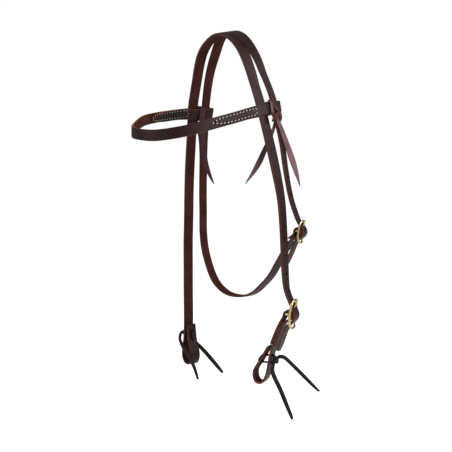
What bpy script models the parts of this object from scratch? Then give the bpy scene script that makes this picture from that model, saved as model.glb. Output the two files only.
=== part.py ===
"""Western browband headstall, ready for a bit: one slit crown, two buckles, tied bit ends.

Metres, +Z up. The horse faces -Y and its left (near) side is +X. The origin is on the
underside of the crown, in the middle, where the headstall lies on the horse's poll.
"""
import math

import bmesh
import bpy
import numpy as np
from mathutils import Vector

# Leather stock
LEATHER = 0.0035
CHEEK_WIDTH = 0.0159
THROAT_WIDTH = 0.0127
CROWN_WIDTH = 0.035
FIT = 0.0003
STEP = 0.011
HOLE_RADIUS = 0.0021
HOLE_PITCH = 0.0254
CUT_OVERRUN = 0.004

# Crown: slit from both sides, whole in the middle
SLIT_START = 0.0115
CROWN_SAG = 0.00165
CROWN_TILT_DEG = 12.0
SPLIT_GAP = 0.0004

# Run of the straps round the head
STRAP_SPREAD = 0.100
CHEEK_SWEEP = 0.020
THROAT_SWEEP = 0.040
CHEEK_DROP = 0.400
THROAT_DIP = 0.401

# Browband
BAND_WIDTH = 0.0159
BAND_LENGTH = 0.1505
BAND_POWER = 2.2
BAND_REAR_HEIGHT = -0.1094
BAND_DROOP = 0.046
BAND_SNUG = 0.0006
BAND_SLIDE_ROOM = 0.0022

# Cheek buckle
CHEEK_WIRE = 0.0019
CHEEK_BAR = 0.0016
CHEEK_SIDE_ROOM = 0.0020
CHEEK_FRAME_RISE = 0.0202
CHEEK_FRAME_DROP = 0.0010
CHEEK_RAIL_SET = 0.0044
CHEEK_FRAME_BOW = 0.0020
CHEEK_FRAME_LEAN = 0.0016
CHEEK_FOLD_RADIUS = 0.0043

# Throat buckle
THROAT_WIRE = 0.0016
THROAT_BAR = 0.0014
THROAT_SIDE_ROOM = 0.0015
THROAT_FRAME_RISE = 0.0158
THROAT_FRAME_DROP = 0.0019
THROAT_RAIL_SET = 0.0022
THROAT_FRAME_BOW = 0.0021
THROAT_FRAME_LEAN = 0.0017
THROAT_FOLD_RADIUS = 0.0033

# Tongues, and the slot that each has in its leather fold
BUCKLE_TURN_DEG = 26.0
TONGUE_RADIUS = 0.0011
TONGUE_OVERHANG = 0.0028
TONGUE_HOLE_RADIUS = 0.0023
TONGUE_SLOT = 0.0048

# Bit ends and the laces that close them
BIT_END_LENGTH = 0.100
LACE_WIDTH = 0.0042
LACE_THICKNESS = 0.0024
LACE_HOLE_RADIUS = 0.0029
LACE_HOLE_SPACING = 0.011
LACE_KNOT = (0.0036, 0.0050, 0.0066)
LACE_TAIL_LENGTH = 0.100

# Leaf-tailed ties round the browband
TIE_WIDTH = 0.0058
TIE_THICKNESS = 0.0018
TIE_KNOT = (0.0036, 0.0048, 0.0052)
TIE_LEAF_WIDTH = 0.0098
TIE_TAIL_LENGTH = 0.100

# Down the front branch: out, back and down, with its turn in degrees, tilt and width.
FRONT_BRANCH_SHARES = (
    (0.180, -0.425, 0.0105, 0.0, 1.00, 1.095),
    (0.310, -0.420, 0.027, 0.0, 0.90, 1.090),
    (0.443, -0.400, 0.055, 0.0, 0.75, 1.080),
    (0.572, -0.300, 0.105, 1.0, 0.50, 1.045),
    (0.656, -0.210, 0.155, 2.0, 0.25, 1.012),
    (0.733, -0.145, 0.205, 3.0, 0.10, 1.0),
    (0.807, -0.075, 0.255, 5.0, 0.0, 1.0),
    (0.844, 0.010, 0.2925, 6.5, 0.0, 1.0),
    (0.882, 0.095, 0.330, 8.0, 0.0, 1.0),
    (0.957, 0.260, 0.405, 10.0, 0.0, 1.0),
    (1.050, 0.455, 0.505, 13.0, 0.0, 1.0),
    (1.123, 0.635, 0.605, 18.0, 0.0, 1.0),
    (1.157, 0.715, 0.705, 21.0, 0.0, 1.0),
    (1.180, 0.740, 0.805, 21.0, 0.0, 1.0),
    (1.210, 0.760, 0.905, 23.0, 0.0, 1.0),
)
# The far cheek hangs on to its bit end in the same terms, past the shared rows.
FAR_CHEEK_SHARED_ROWS = 14
FAR_CHEEK_END_SHARES = (
    (1.195, 0.790, 0.905, 0.0, 0.0, 1.0),
    (1.199, 0.800, 1.000, 0.0, 0.0, 1.0),
)
# Down the rear branch, in the same terms.
REAR_BRANCH_SHARES = (
    (0.180, 0.230, 0.0010, 0.0, 1.00, 1.36),
    (0.300, 0.290, 0.021, 0.0, 0.90, 1.33),
    (0.414, 0.355, 0.055, 0.0, 0.75, 1.30),
    (0.554, 0.410, 0.105, 4.0, 0.50, 1.18),
    (0.652, 0.4525, 0.155, 9.0, 0.25, 1.09),
    (0.744, 0.535, 0.205, 14.0, 0.10, 1.04),
    (0.819, 0.6075, 0.255, 15.0, 0.0, 1.01),
    (0.851, 0.640, 0.2925, 17.0, 0.0, 1.0),
    (0.882, 0.675, 0.330, 19.0, 0.0, 1.0),
    (0.946, 0.745, 0.405, 23.0, 0.0, 1.0),
    (1.000, 0.8175, 0.505, 25.0, 0.0, 1.0),
    (1.067, 0.9225, 0.605, 26.0, 0.0, 1.0),
)
# Throatlatch from the far side to the near: across, back, down from its start, turn.
THROAT_START_SHARE = 0.680
THROATLATCH_SHARES = (
    (-1.130, 1.050, 0.0, 0.0),
    (-1.130, 1.050, 0.235, 0.0),
    (-1.090, 1.050, 0.445, 0.0),
    (-0.980, 1.050, 0.655, 0.0),
    (-0.800, 1.050, 0.860, 0.0),
    (-0.500, 1.050, 0.985, 0.0),
    (-0.180, 1.050, 1.0, 0.0),
    (0.200, 1.050, 0.925, 0.0),
    (0.395, 1.050, 0.818, 0.0),
    (0.590, 1.050, 0.690, 0.0),
    (0.770, 1.050, 0.510, 1.0),
    (0.890, 1.050, 0.388, 6.0),
    (0.985, 1.062, 0.305, 14.0),
)
# Places of the two buckle bars: out, back, down.
CHEEK_BAR_SHARES = (1.271, 0.855, 1.01225)
THROAT_BAR_SHARES = (1.166, 1.100, 0.72325)

# Near billets at their buckles: outward and up from the bar, in rises of the frame.
CHEEK_BILLET_SHARES = (
    (-0.208, 1.554), (-0.025, 1.109), (0.149, 0.733), (0.324, 0.396), (0.463, 0.124),
    (0.512, -0.119), (0.460, -0.356), (0.327, -0.540), (0.129, -0.693), (-0.079, -0.881),
    (-0.228, -1.139), (-0.431, -1.658), (-0.629, -2.213), (-0.832, -2.748),
)
THROAT_BILLET_SHARES = (
    (-0.665, 2.475), (-0.449, 1.899), (-0.247, 1.335), (-0.044, 0.873), (0.196, 0.532),
    (0.462, 0.241), (0.579, -0.101), (0.506, -0.392), (0.316, -0.601), (0.117, -0.703),
    (-0.060, -0.810), (-0.228, -1.000), (-0.367, -1.297), (-0.589, -1.867), (-0.861, -2.430),
    (-1.139, -3.101),
)
# Near bit strap below its fold, in bit end lengths: outer leg, loop, and up to its tip.
BIT_LEG_SHARES = (
    (0.052, -0.065), (0.010, -0.090), (-0.044, -0.118), (-0.090, -0.165),
    (-0.136, -0.257), (-0.175, -0.352), (-0.218, -0.466),
    (-0.252, -0.562), (-0.276, -0.657), (-0.291, -0.750), (-0.306, -0.845), (-0.334, -0.940),
    (-0.376, -1.008), (-0.416, -1.040), (-0.442, -1.040), (-0.468, -1.040), (-0.506, -1.000),
    (-0.526, -0.926), (-0.508, -0.839),
    (-0.452, -0.758), (-0.402, -0.679), (-0.354, -0.590), (-0.306, -0.506),
)
BIT_LEG_PRESSED = (4, 6)
BIT_FOLD_BACK_SHARES = ((-0.064, -0.050), (-0.091, -0.090), (-0.127, -0.150))
# Fold of the throatlatch round its bar, in rises of the frame.
THROAT_FOLD_LEG_SHARES = ((-0.108, -0.544), (-0.411, -0.728), (-0.753, -0.930))
THROAT_FOLD_BACK_SHARE = (-0.307, -0.215)
THROAT_LEG_PRESSED = (-3, -2)
# Far bit end from its outer leg round to its tip: across and up from the loop's bottom.
FAR_LOOP_PLACE_SHARES = (-1.195, 0.800, 1.30575)
FAR_LOOP_SHARES = (
    (0.000, 0.700), (-0.006, 0.500), (-0.027, 0.340), (-0.059, 0.190), (-0.057, 0.100),
    (-0.007, 0.020), (0.044, 0.0), (0.070, 0.0), (0.096, 0.0), (0.150, 0.035),
    (0.189, 0.118), (0.180, 0.213),
    (0.140, 0.313), (0.102, 0.413), (0.082, 0.543), (0.066, 0.655),
)
POINT_SHARES = ((0.020, 1.0), (0.011, 0.80), (0.004, 0.45), (0.0, 0.16))

# Browband: back from the crown, then how much of the droop it has reached.
BAND_NEAR_SHARES = ((0.30, -0.01), (0.21, 0.0), (0.08, 0.107), (-0.06, 0.204), (-0.20, 0.33),
                    (-0.32, 0.443), (-0.565, 0.672), (-0.74, 0.848), (-0.86, 0.943),
                    (-0.957, 1.0))
BAND_FAR_SHARES = ((0.30, -0.005), (0.25, 0.0), (0.086, 0.041), (-0.033, 0.07), (-0.20, 0.14),
                   (-0.305, 0.193), (-0.505, 0.307), (-0.685, 0.44), (-0.845, 0.696),
                   (-0.957, 0.85))
BAND_FRONT_SHARE = 0.95
BAND_LEAN_SHARE = 0.25
LAP_END_SHARES = ((-0.30, 1.0), (-0.44, 0.93), (-0.515, 0.66), (-0.555, 0.34), (-0.572, 0.12))
LAP_MEET_SHARE = -0.20

# Lace tails from their knot: outward, back and up.
NEAR_UPPER_TAIL_SHARES = ((0.0, 0.0, 0.02), (0.034, -0.02, 0.072), (0.075, -0.03, 0.081),
                          (0.166, -0.03, 0.048), (0.264, -0.02, -0.015),
                          (0.361, 0.0, -0.096), (0.497, 0.02, -0.222), (0.664, 0.04, -0.355))
NEAR_LOWER_TAIL_SHARES = ((0.0, -0.01, 0.0), (-0.012, -0.045, -0.07), (-0.012, -0.06, -0.132),
                          (0.0, -0.06, -0.205), (0.026, -0.045, -0.284),
                          (0.076, -0.02, -0.389), (0.101, 0.0, -0.476), (0.177, 0.0, -0.618),
                          (0.265, 0.0, -0.822))
FAR_FRONT_TAIL_SHARES = ((0.0, 0.0, 0.02), (0.028, -0.06, 0.075), (0.062, -0.115, 0.02),
                         (0.044, -0.130, -0.085), (-0.055, -0.135, -0.168),
                         (-0.220, -0.135, -0.265), (-0.315, -0.130, -0.370),
                         (-0.395, -0.120, -0.480), (-0.460, -0.110, -0.622))
FAR_REAR_TAIL_SHARES = ((0.0, 0.0, 0.0), (0.016, 0.055, -0.040), (0.010, 0.100, -0.062),
                        (-0.040, 0.130, -0.085), (-0.150, 0.135, -0.128),
                        (-0.460, 0.130, -0.245), (-0.720, 0.125, -0.388),
                        (-0.860, 0.120, -0.455))
# Knot of a tie: out, back along the browband and up from the middle of its lace.
TIE_KNOT_PLACE_SHARES = (0.034, 0.055, -0.085)
# Leaf tails of the ties: out, back, down from where each leaves its lace, and its width.
NEAR_OUTER_LEAF_SHARES = (
    (0.0, 0.0, 0.0, 0.45), (0.010, 0.035, 0.060, 0.55), (0.035, 0.065, 0.250, 0.70),
    (0.075, 0.110, 0.420, 0.88), (0.120, 0.175, 0.574, 1.0), (0.160, 0.235, 0.746, 0.86),
    (0.205, 0.280, 0.919, 0.42), (0.222, 0.292, 0.965, 0.10))
NEAR_INNER_LEAF_SHARES = (
    (0.0, 0.0, 0.0, 0.45), (0.010, 0.065, 0.050, 0.48), (0.010, 0.120, 0.105, 0.50),
    (0.0, 0.130, 0.220, 0.56), (-0.030, 0.025, 0.465, 0.84), (-0.050, -0.037, 0.612, 1.0),
    (-0.060, -0.096, 0.724, 0.80), (-0.078, -0.220, 0.860, 0.42), (-0.090, -0.320, 0.970, 0.10))
FAR_OUTER_LEAF_SHARES = (
    (0.0, 0.0, 0.0, 0.45), (0.010, 0.035, 0.060, 0.55), (0.035, 0.075, 0.260, 0.72),
    (0.070, 0.105, 0.440, 0.92), (0.105, 0.130, 0.610, 1.0), (0.135, 0.150, 0.780, 0.78),
    (0.160, 0.170, 0.930, 0.40), (0.170, 0.175, 0.990, 0.10))
FAR_INNER_LEAF_SHARES = (
    (0.0, 0.0, 0.0, 0.45), (0.005, 0.0, 0.060, 0.50), (0.010, 0.007, 0.160, 0.52),
    (0.010, 0.047, 0.366, 0.66), (0.0, 0.074, 0.560, 0.96), (-0.004, 0.100, 0.700, 0.96),
    (-0.010, 0.139, 0.826, 0.60), (-0.018, 0.220, 0.980, 0.28), (-0.020, 0.246, 1.030, 0.10))

BEND_DEG = 16.0
WIRE_SIDES = 8
RING_POINTS = 28
RING_POWER = 3.2
HOLE_SIDES = 12
UP = Vector((0.0, 0.0, 1.0))


class Spot:
    """A place on the middle surface of a piece of leather, and the way its grain faces."""

    def __init__(self, place, normal):
        self.place = Vector(place)
        self.normal = Vector(normal)


def clear_scene():
    for item in list(bpy.data.objects):
        bpy.data.objects.remove(item, do_unlink=True)


def material(name, colour, roughness, metallic=0.0):
    made = bpy.data.materials.new(name)
    made.use_nodes = True
    shader = made.node_tree.nodes["Principled BSDF"]
    shader.inputs["Base Color"].default_value = (*colour, 1.0)
    shader.inputs["Roughness"].default_value = roughness
    shader.inputs["Metallic"].default_value = metallic
    return made


def smooth(rows, step=STEP, first=0, closed=False):
    """Curve through rows of numbers that start with a place; gives (row, direction) pairs."""
    rows = np.array(rows, float)
    if closed:
        rows = np.vstack((rows[-2:], rows, rows[:2]))
    spans = np.diff(rows, axis=0)
    lengths = np.linalg.norm(spans[:, :3], axis=1)
    rates = spans / lengths[:, None]
    slopes = np.empty_like(rows)
    ahead, behind = lengths[1:, None], lengths[:-1, None]
    slopes[1:-1] = (rates[:-1] * ahead + rates[1:] * behind) / (ahead + behind)
    slopes[0] = 1.5 * rates[0] - 0.5 * slopes[1]
    slopes[-1] = 1.5 * rates[-1] - 0.5 * slopes[-2]
    samples = []
    last_span = len(spans) - 1 if closed else len(spans)
    for index in range(2 if closed else first, last_span):
        start, end = slopes[index], slopes[index + 1]
        bend = Vector(start[:3]).angle(Vector(end[:3]))
        count = max(1, math.ceil(lengths[index] / step), math.ceil(math.degrees(bend) / BEND_DEG))
        for part in range(count):
            samples.append(hermite(rows[index], rows[index + 1], start, end, lengths[index],
                                   part / count))
    if not closed:
        samples.append((rows[-1], Vector(slopes[-1][:3]).normalized()))
    return samples


def hermite(start, end, start_slope, end_slope, length, share):
    square, cube = share ** 2, share ** 3
    row = ((2 * cube - 3 * square + 1) * start + (cube - 2 * square + share) * length * start_slope
           + (3 * square - 2 * cube) * end + (cube - square) * length * end_slope)
    along = ((6 * square - 6 * share) * (start - end) / length
             + (3 * square - 4 * share + 1) * start_slope + (3 * square - 2 * share) * end_slope)
    return row, Vector(along[:3]).normalized()


def width_way(turn_deg, tilt_deg=0.0):
    """The way that a strap's width runs: back along +Y, turned about Z, tilted up at the rear."""
    turn, tilt = math.radians(turn_deg), math.radians(tilt_deg)
    return Vector((-math.sin(turn) * math.cos(tilt), math.cos(turn) * math.cos(tilt), math.sin(tilt)))


def station(place, way, width):
    return (*place, *way, width)


def strap_rows(stations, step=STEP, first=0, grain=1, slot=0.0, closed=False, square=True):
    """Rows of spots across a strap whose stations hold place, width way and width."""
    rows = []
    for values, along in smooth(stations, step, first, closed):
        way = Vector(values[3:6])
        if square:
            way = way - way.dot(along) * along
        way.normalize()
        normal = along.cross(way).normalized() * grain
        half = values[6] / 2
        offsets = (-half, -slot / 2, slot / 2, half) if slot else (-half, half)
        rows.append([Spot(Vector(values[:3]) + way * offset, normal) for offset in offsets])
    return rows


def cells(rows, grain=1, skip=(), closed=False):
    quads = []
    count = len(rows) if closed else len(rows) - 1
    for index in range(count):
        row, after = rows[index], rows[(index + 1) % len(rows)]
        for column in range(len(row) - 1):
            if (index, column) in skip:
                continue
            quad = (row[column], after[column], after[column + 1], row[column + 1])
            quads.append(quad if grain > 0 else quad[::-1])
    return quads


def leather_piece(name, quads, finish, thickness=LEATHER):
    """Closed solid with square edges round a sheet of cells."""
    mesh = bmesh.new()
    corners = {}

    def corner(spot, side):
        key = (id(spot), side)
        if key not in corners:
            corners[key] = mesh.verts.new(spot.place + spot.normal * side * thickness / 2)
        return corners[key]

    sides = {(quad[k], quad[(k + 1) % 4]) for quad in quads for k in range(4)}
    for quad in quads:
        mesh.faces.new([corner(spot, 1) for spot in quad])
        mesh.faces.new([corner(spot, -1) for spot in reversed(quad)])
        for k in range(4):
            start, end = quad[k], quad[(k + 1) % 4]
            if (end, start) not in sides:
                mesh.faces.new((corner(end, 1), corner(start, 1), corner(start, -1),
                                corner(end, -1)))
    return finish_object(name, mesh, finish)


def finish_object(name, mesh, finish, smooth_angle_deg=40.0):
    data = bpy.data.meshes.new(name)
    mesh.to_mesh(data)
    mesh.free()
    data.shade_smooth()
    data.set_sharp_from_angle(angle=math.radians(smooth_angle_deg))
    made = bpy.data.objects.new(name, data)
    bpy.context.scene.collection.objects.link(made)
    if finish:
        data.materials.append(finish)
    return made


def add_tube(mesh, path, radii, reference, closed=False):
    """Round bar along a path of places, with flat caps unless it closes on itself."""
    count = len(path)
    rings = []
    for index, place in enumerate(path):
        before = path[index - 1] if closed or index else place
        after = path[(index + 1) % count] if closed or index < count - 1 else place
        along = (after - before).normalized()
        side = reference.cross(along).normalized()
        lift = along.cross(side)
        ring = []
        for step in range(WIRE_SIDES):
            angle = 2 * math.pi * step / WIRE_SIDES
            ring.append(mesh.verts.new(place + (side * math.cos(angle) + lift * math.sin(angle))
                                       * radii[index]))
        rings.append(ring)
    for index in range(count if closed else count - 1):
        ring, after = rings[index], rings[(index + 1) % count]
        for step in range(WIRE_SIDES):
            turn = (step + 1) % WIRE_SIDES
            mesh.faces.new((ring[step], ring[turn], after[turn], after[step]))
    if not closed:
        mesh.faces.new(list(reversed(rings[0])))
        mesh.faces.new(rings[-1])


def tube(name, path, radius, reference, finish=None, closed=False, taper=1.0):
    mesh = bmesh.new()
    last = len(path) - 1
    radii = [radius * (1 - (1 - taper) * (index / last) ** 3) for index in range(len(path))]
    add_tube(mesh, path, radii, reference, closed)
    bmesh.ops.recalc_face_normals(mesh, faces=mesh.faces)
    return finish_object(name, mesh, finish)


def hide_helper(helper):
    helper.hide_render = True
    helper.display_type = "WIRE"


def combine(target, helper, operation):
    modifier = target.modifiers.new(f"{operation} {helper.name}", "BOOLEAN")
    modifier.operation = operation
    modifier.object = helper
    modifier.solver = "EXACT"
    hide_helper(helper)


def punch(target, holes):
    """Punch round holes, given as (place, direction, radius), straight through the leather."""
    mesh = bmesh.new()
    for place, direction, radius in holes:
        reach = direction.normalized() * (LEATHER / 2 + CUT_OVERRUN)
        side = direction.orthogonal().normalized()
        add_round(mesh, place - reach, place + reach, side, radius)
    bmesh.ops.recalc_face_normals(mesh, faces=mesh.faces)
    combine(target, finish_object(f"{target.name}_punch", mesh, None), "DIFFERENCE")


def add_round(mesh, start, end, side, radius):
    along = (end - start).normalized()
    lift = along.cross(side)
    rings = []
    for place in (start, end):
        rings.append([mesh.verts.new(place + (side * math.cos(2 * math.pi * k / HOLE_SIDES)
                                              + lift * math.sin(2 * math.pi * k / HOLE_SIDES))
                                     * radius) for k in range(HOLE_SIDES)])
    for k in range(HOLE_SIDES):
        turn = (k + 1) % HOLE_SIDES
        mesh.faces.new((rings[0][k], rings[0][turn], rings[1][turn], rings[1][k]))
    mesh.faces.new(list(reversed(rings[0])))
    mesh.faces.new(rings[1])


def knot_lump(name, place, axes, sizes):
    """Pulled-down knot as a rounded lump with the given half sizes along three axes."""
    mesh = bmesh.new()
    bmesh.ops.create_uvsphere(mesh, u_segments=12, v_segments=8, radius=1.0)
    for vert in mesh.verts:
        unit = vert.co.copy()
        vert.co = place + sum((axis * size * part for axis, size, part
                               in zip(axes, sizes, unit)), Vector())
    bmesh.ops.recalc_face_normals(mesh, faces=mesh.faces)
    return finish_object(name, mesh, None)


class Buckle:
    """Where a buckle sits, its own directions, and the sizes that its pieces share."""

    def __init__(self, name, shares, sweep, wire, bar, side_room, rise, drop, rail_set, bow,
                 lean, fold_radius, strap):
        out, back, down = shares
        self.name = name
        self.place = Vector((out * STRAP_SPREAD, back * sweep, -down * CHEEK_DROP))
        self.side = width_way(BUCKLE_TURN_DEG)
        self.out = self.side.cross(UP)
        self.wire, self.bar = wire, bar
        self.rise, self.drop = rise, drop
        self.rail_set, self.bow, self.lean = rail_set, bow, lean
        self.strap = strap
        self.half = strap / 2 + side_room + wire
        self.fold_radius = fold_radius + LEATHER / 2
        self.fold_height = bar + FIT - fold_radius

    def at(self, out, up, side=0.0):
        return self.place + self.out * out + UP * up + self.side * side

    def frame_set(self, up):
        """How far the frame stands outward of its bar at a height."""
        share = (up + self.drop) / self.rise
        return self.rail_set + self.bow * share ** 2 + self.lean * share

    def fold_angle_place(self, degrees):
        angle = math.radians(degrees)
        return self.at(self.fold_radius * math.cos(angle),
                       self.fold_height + self.fold_radius * math.sin(angle))

    def tongue_line(self):
        """Start on the eye, direction, and the place where the tongue rests on the top rail."""
        top = self.rise - self.drop
        rail = Vector((self.frame_set(top), top))
        aim = rail.normalized()
        clear = Vector((aim.y, -aim.x))
        start = clear * (self.bar + FIT + TONGUE_RADIUS)
        rest = rail + clear * (self.wire + FIT + TONGUE_RADIUS)
        return start, (rest - start).normalized(), rest


def ring_frame(buckle, finish):
    """Cast ring with a set-back centre bar on two short posts."""
    path = []
    for step in range(RING_POINTS):
        angle = 2 * math.pi * step / RING_POINTS
        cosine, sine = math.cos(angle), math.sin(angle)
        side = buckle.half * math.copysign(abs(cosine) ** (2 / RING_POWER), cosine)
        up = buckle.rise * math.copysign(abs(sine) ** (2 / RING_POWER), sine) - buckle.drop
        path.append(buckle.at(buckle.frame_set(up), up, side))
    ring = tube(f"{buckle.name}_frame", path, buckle.wire, buckle.out, finish, closed=True)
    bar = tube(f"{buckle.name}_bar", [buckle.at(0, 0, -buckle.half), buckle.at(0, 0, buckle.half)],
               buckle.bar, UP)
    combine(ring, bar, "UNION")
    for end in (-1, 1):
        post = tube(f"{buckle.name}_post", [buckle.at(-buckle.bar - FIT, 0, end * buckle.half),
                                            buckle.at(buckle.frame_set(0), 0, end * buckle.half)],
                    (buckle.wire + buckle.bar) / 2, UP)
        combine(ring, post, "UNION")
    return ring


def tongue(buckle, finish, wrap_deg=250.0, eye_steps=12):
    """Pin bent round the bar, straight through the strap, resting on the top rail."""
    start, aim, rest = buckle.tongue_line()
    radius = start.length
    base = math.degrees(math.atan2(start.y, start.x))
    path = []
    for step in range(eye_steps + 1):
        angle = math.radians(base - wrap_deg * (1 - step / eye_steps))
        path.append(buckle.at(radius * math.cos(angle), radius * math.sin(angle)))
    tip = rest + aim * TONGUE_OVERHANG
    for share in (0.35, 0.7, 1.0):
        place = start.lerp(tip, share)
        path.append(buckle.at(place.x, place.y))
    made = tube(f"{buckle.name}_tongue", path, TONGUE_RADIUS, buckle.side, finish, taper=0.75)
    shift_origin(made, buckle.place)
    return made


def shift_origin(item, place):
    """Put an object's origin on its joint's axis and leave its shape where it is."""
    for vert in item.data.vertices:
        vert.co -= place
    item.location = place


def branch_stations(table, sweep, width, side, turned=True):
    stations = []
    for out, back, down, turn, tilt, wide in table:
        place = (side * out * STRAP_SPREAD, back * sweep, -down * CHEEK_DROP)
        way = width_way(turn if turned else 0.0, tilt * CROWN_TILT_DEG)
        stations.append(station(place, way, wide * width))
    return stations


def local_stations(buckle, table, width, scale):
    return [station(buckle.at(out * scale, up * scale), buckle.side, width)
            for out, up in table]


def crown_centre(across):
    """Middle of the unsplit crown at a distance across from the poll."""
    return Vector((across, 0.0, LEATHER / 2 - CROWN_SAG * (across / SLIT_START) ** 2))


def crown_roots(side, half):
    """Two places that lead one branch out of the unsplit crown: its middle and its slit end."""
    way = width_way(0.0, CROWN_TILT_DEG)
    return [station(crown_centre(across) + way * half * CROWN_WIDTH / 4, way, CROWN_WIDTH / 2)
            for across in (0.0, side * SLIT_START)]


def pointed(stations, length):
    """Cut the end of a strap to a blunt point: the last station becomes a short run of them."""
    before, last = np.array(stations[-2]), np.array(stations[-1])
    aim = (last[:3] - before[:3]) / np.linalg.norm(last[:3] - before[:3])
    made = list(stations[:-1])
    for back, wide in POINT_SHARES:
        row = last.copy()
        row[:3] = last[:3] - aim * back * length
        row[6] = last[6] * wide
        made.append(tuple(row))
    return made


def row_middle(row):
    return (row[0].place + row[-1].place) / 2


def row_normal(row):
    return (row[0].normal + row[-1].normal).normalized()


def nearest_on_line(rows, start, aim):
    """Place, between rows, where a strap's middle comes nearest to a line."""
    best = None
    for row, after in zip(rows, rows[1:]):
        for part in range(8):
            place = row_middle(row).lerp(row_middle(after), part / 8)
            miss = (place - start).cross(aim).length
            if best is None or miss < best[0]:
                best = (miss, place, rows.index(row))
    return best[1], best[2]


def walk(rows, place, index, distance):
    """Place and normal at a distance along a strap; negative goes back towards its start."""
    step = 1 if distance > 0 else -1
    left = abs(distance)
    here = place
    index = index + 1 if step > 0 else index
    while 0 <= index < len(rows):
        there = row_middle(rows[index])
        run = (there - here).length
        if run >= left:
            return here.lerp(there, left / run), row_normal(rows[index])
        left -= run
        here = there
        index += step
    return None


def billet_holes(rows, buckle, above, below):
    """The tongue's own hole, cut on its slant, and the punched row on both sides of it."""
    start, aim, _ = buckle.tongue_line()
    line_start = buckle.at(start.x, start.y)
    line_aim = buckle.out * aim.x + UP * aim.y
    place, index = nearest_on_line(rows, line_start, line_aim)
    holes = [(line_start + line_aim * (place - line_start).dot(line_aim), line_aim,
              TONGUE_HOLE_RADIUS)]
    for count in [-k for k in range(1, above + 1)] + list(range(1, below + 1)):
        found = walk(rows, place, index, count * HOLE_PITCH)
        if found:
            holes.append((found[0], found[1], HOLE_RADIUS))
    return holes


def split_rows(rows, height):
    """Part the rows of a hanging strap at a height, leaving a hair's gap."""
    upper = [row for row in rows if row_middle(row).z > height + SPLIT_GAP]
    lower = [row for row in rows if row_middle(row).z < height - SPLIT_GAP]
    span = row_middle(upper[-1]).z - row_middle(lower[0]).z

    def between(level):
        share = (row_middle(upper[-1]).z - level) / span
        return [Spot(a.place.lerp(b.place, share), a.normal.lerp(b.normal, share).normalized())
                for a, b in zip(upper[-1], lower[0])]

    edge_above, edge_below = between(height + SPLIT_GAP / 2), between(height - SPLIT_GAP / 2)
    return upper + [edge_above], [edge_below] + lower


def band_height(table, back):
    ordered = sorted(table)
    return BAND_REAR_HEIGHT - BAND_DROOP * float(np.interp(
        back / BAND_LENGTH, [row[0] for row in ordered], [row[1] for row in ordered]))


def branch_at(stations, height):
    """Centre and turn of a hanging branch at a height."""
    rows = sorted(stations, key=lambda row: row[2])
    levels = [row[2] for row in rows]
    values = [float(np.interp(height, levels, [row[k] for row in rows])) for k in range(6)]
    place = Vector((values[0], values[1], height))
    way = Vector(values[3:6])
    way.z = 0.0
    return place, way.normalized()


def band_side(front, rear, table, side):
    """Browband stations round the two branches of one side, from outside to inside."""
    place_f, way_f = branch_at(front, band_height(table, 0.0))
    place_r, way_r = branch_at(rear, band_height(table, THROAT_SWEEP * 0.62))
    out_f, out_r = way_f.cross(UP) * side, way_r.cross(UP) * side
    flare = math.hypot(1.0, BAND_LEAN_SHARE)
    near, far = (LEATHER + BAND_SNUG) * flare, (LEATHER + BAND_SLIDE_ROOM) * flare
    half_f, half_r = way_f * CHEEK_WIDTH / 2, way_r * THROAT_WIDTH / 2
    turn_radius = (near + far) / 2
    turn_place = place_r + out_r * (near - far) / 2 + half_r * 1.05

    outer_f, outer_r = place_f + out_f * near, place_r + out_r * near
    inner_f, inner_r = place_f - out_f * far, place_r - out_r * far
    nip_out = (outer_f + half_f).lerp(outer_r - half_r, 0.5)
    nip_in = (inner_f + half_f).lerp(inner_r - half_r, 0.5)
    points = [outer_f - half_f, outer_f, outer_f + half_f * 0.9, nip_out,
              outer_r - half_r * 0.9, outer_r, outer_r + half_r * 0.7]
    for degrees in (60, 20, -20, -60):
        angle = math.radians(degrees)
        points.append(turn_place + out_r * turn_radius * math.sin(angle)
                      + way_r * turn_radius * math.cos(angle))
    points += [inner_r + half_r * 0.6, inner_r - half_r * 0.9, nip_in, inner_f + half_f * 0.9,
               inner_f - half_f]
    rise = Vector((-side * BAND_LEAN_SHARE, 0.0, 1.0)).normalized()

    def level(point):
        """A point at the browband's height, pushed out as far as the branch there leans."""
        height = band_height(table, point.y)
        branch = place_f if point.y < (nip_out.y + nip_in.y) / 2 else place_r
        inward = side * ((outer_f - half_f).x - point.x)
        return Vector((point.x - side * (height - branch.z) * BAND_LEAN_SHARE, point.y,
                       height - inward * BAND_LEAN_SHARE))

    stations = [station(level(point), rise, BAND_WIDTH) for point in points]
    nips = [level(nip) for nip in (nip_out, nip_in)]
    along = (level(outer_r - half_r) - level(outer_f + half_f)).normalized()
    return stations, nips, rise, along


def band_curve(table, side, half_span):
    """Browband stations forward of the branches, on the outside."""
    made = []
    for back, drop in table:
        if back > LAP_MEET_SHARE:
            continue
        across = side * half_span * (1 - abs(back) ** BAND_POWER) ** (1 / BAND_POWER)
        fade = 1 - abs(back)
        rise = Vector((-side * BAND_LEAN_SHARE * fade, 0.0, 1.0)).normalized()
        place = (across, back * BAND_LENGTH, BAND_REAR_HEIGHT - BAND_DROOP * drop)
        made.append(station(place, rise, BAND_WIDTH))
    return made


def lap_stations(table, side, half_span):
    """The folded end, pressed to the inside of the browband and cut to a long point."""
    made = []
    for back, wide in ((LAP_MEET_SHARE, 1.0),) + LAP_END_SHARES:
        radial = (1 - abs(back) ** BAND_POWER) ** (1 / BAND_POWER)
        outward = Vector((side * radial ** (BAND_POWER - 1) / half_span,
                          -(abs(back) ** (BAND_POWER - 1)) / BAND_LENGTH, 0.0)).normalized()
        place = Vector((side * half_span * radial, back * BAND_LENGTH, 0.0))
        inset = LEATHER + 2 * FIT
        place -= outward * inset
        place.z = band_height(table, place.y) - inset * BAND_LEAN_SHARE * (1 - abs(back))
        rise = Vector((-side * BAND_LEAN_SHARE * (1 - abs(back)), 0.0, 1.0)).normalized()
        made.append(station(place, rise, BAND_WIDTH * wide))
    return made


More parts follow.
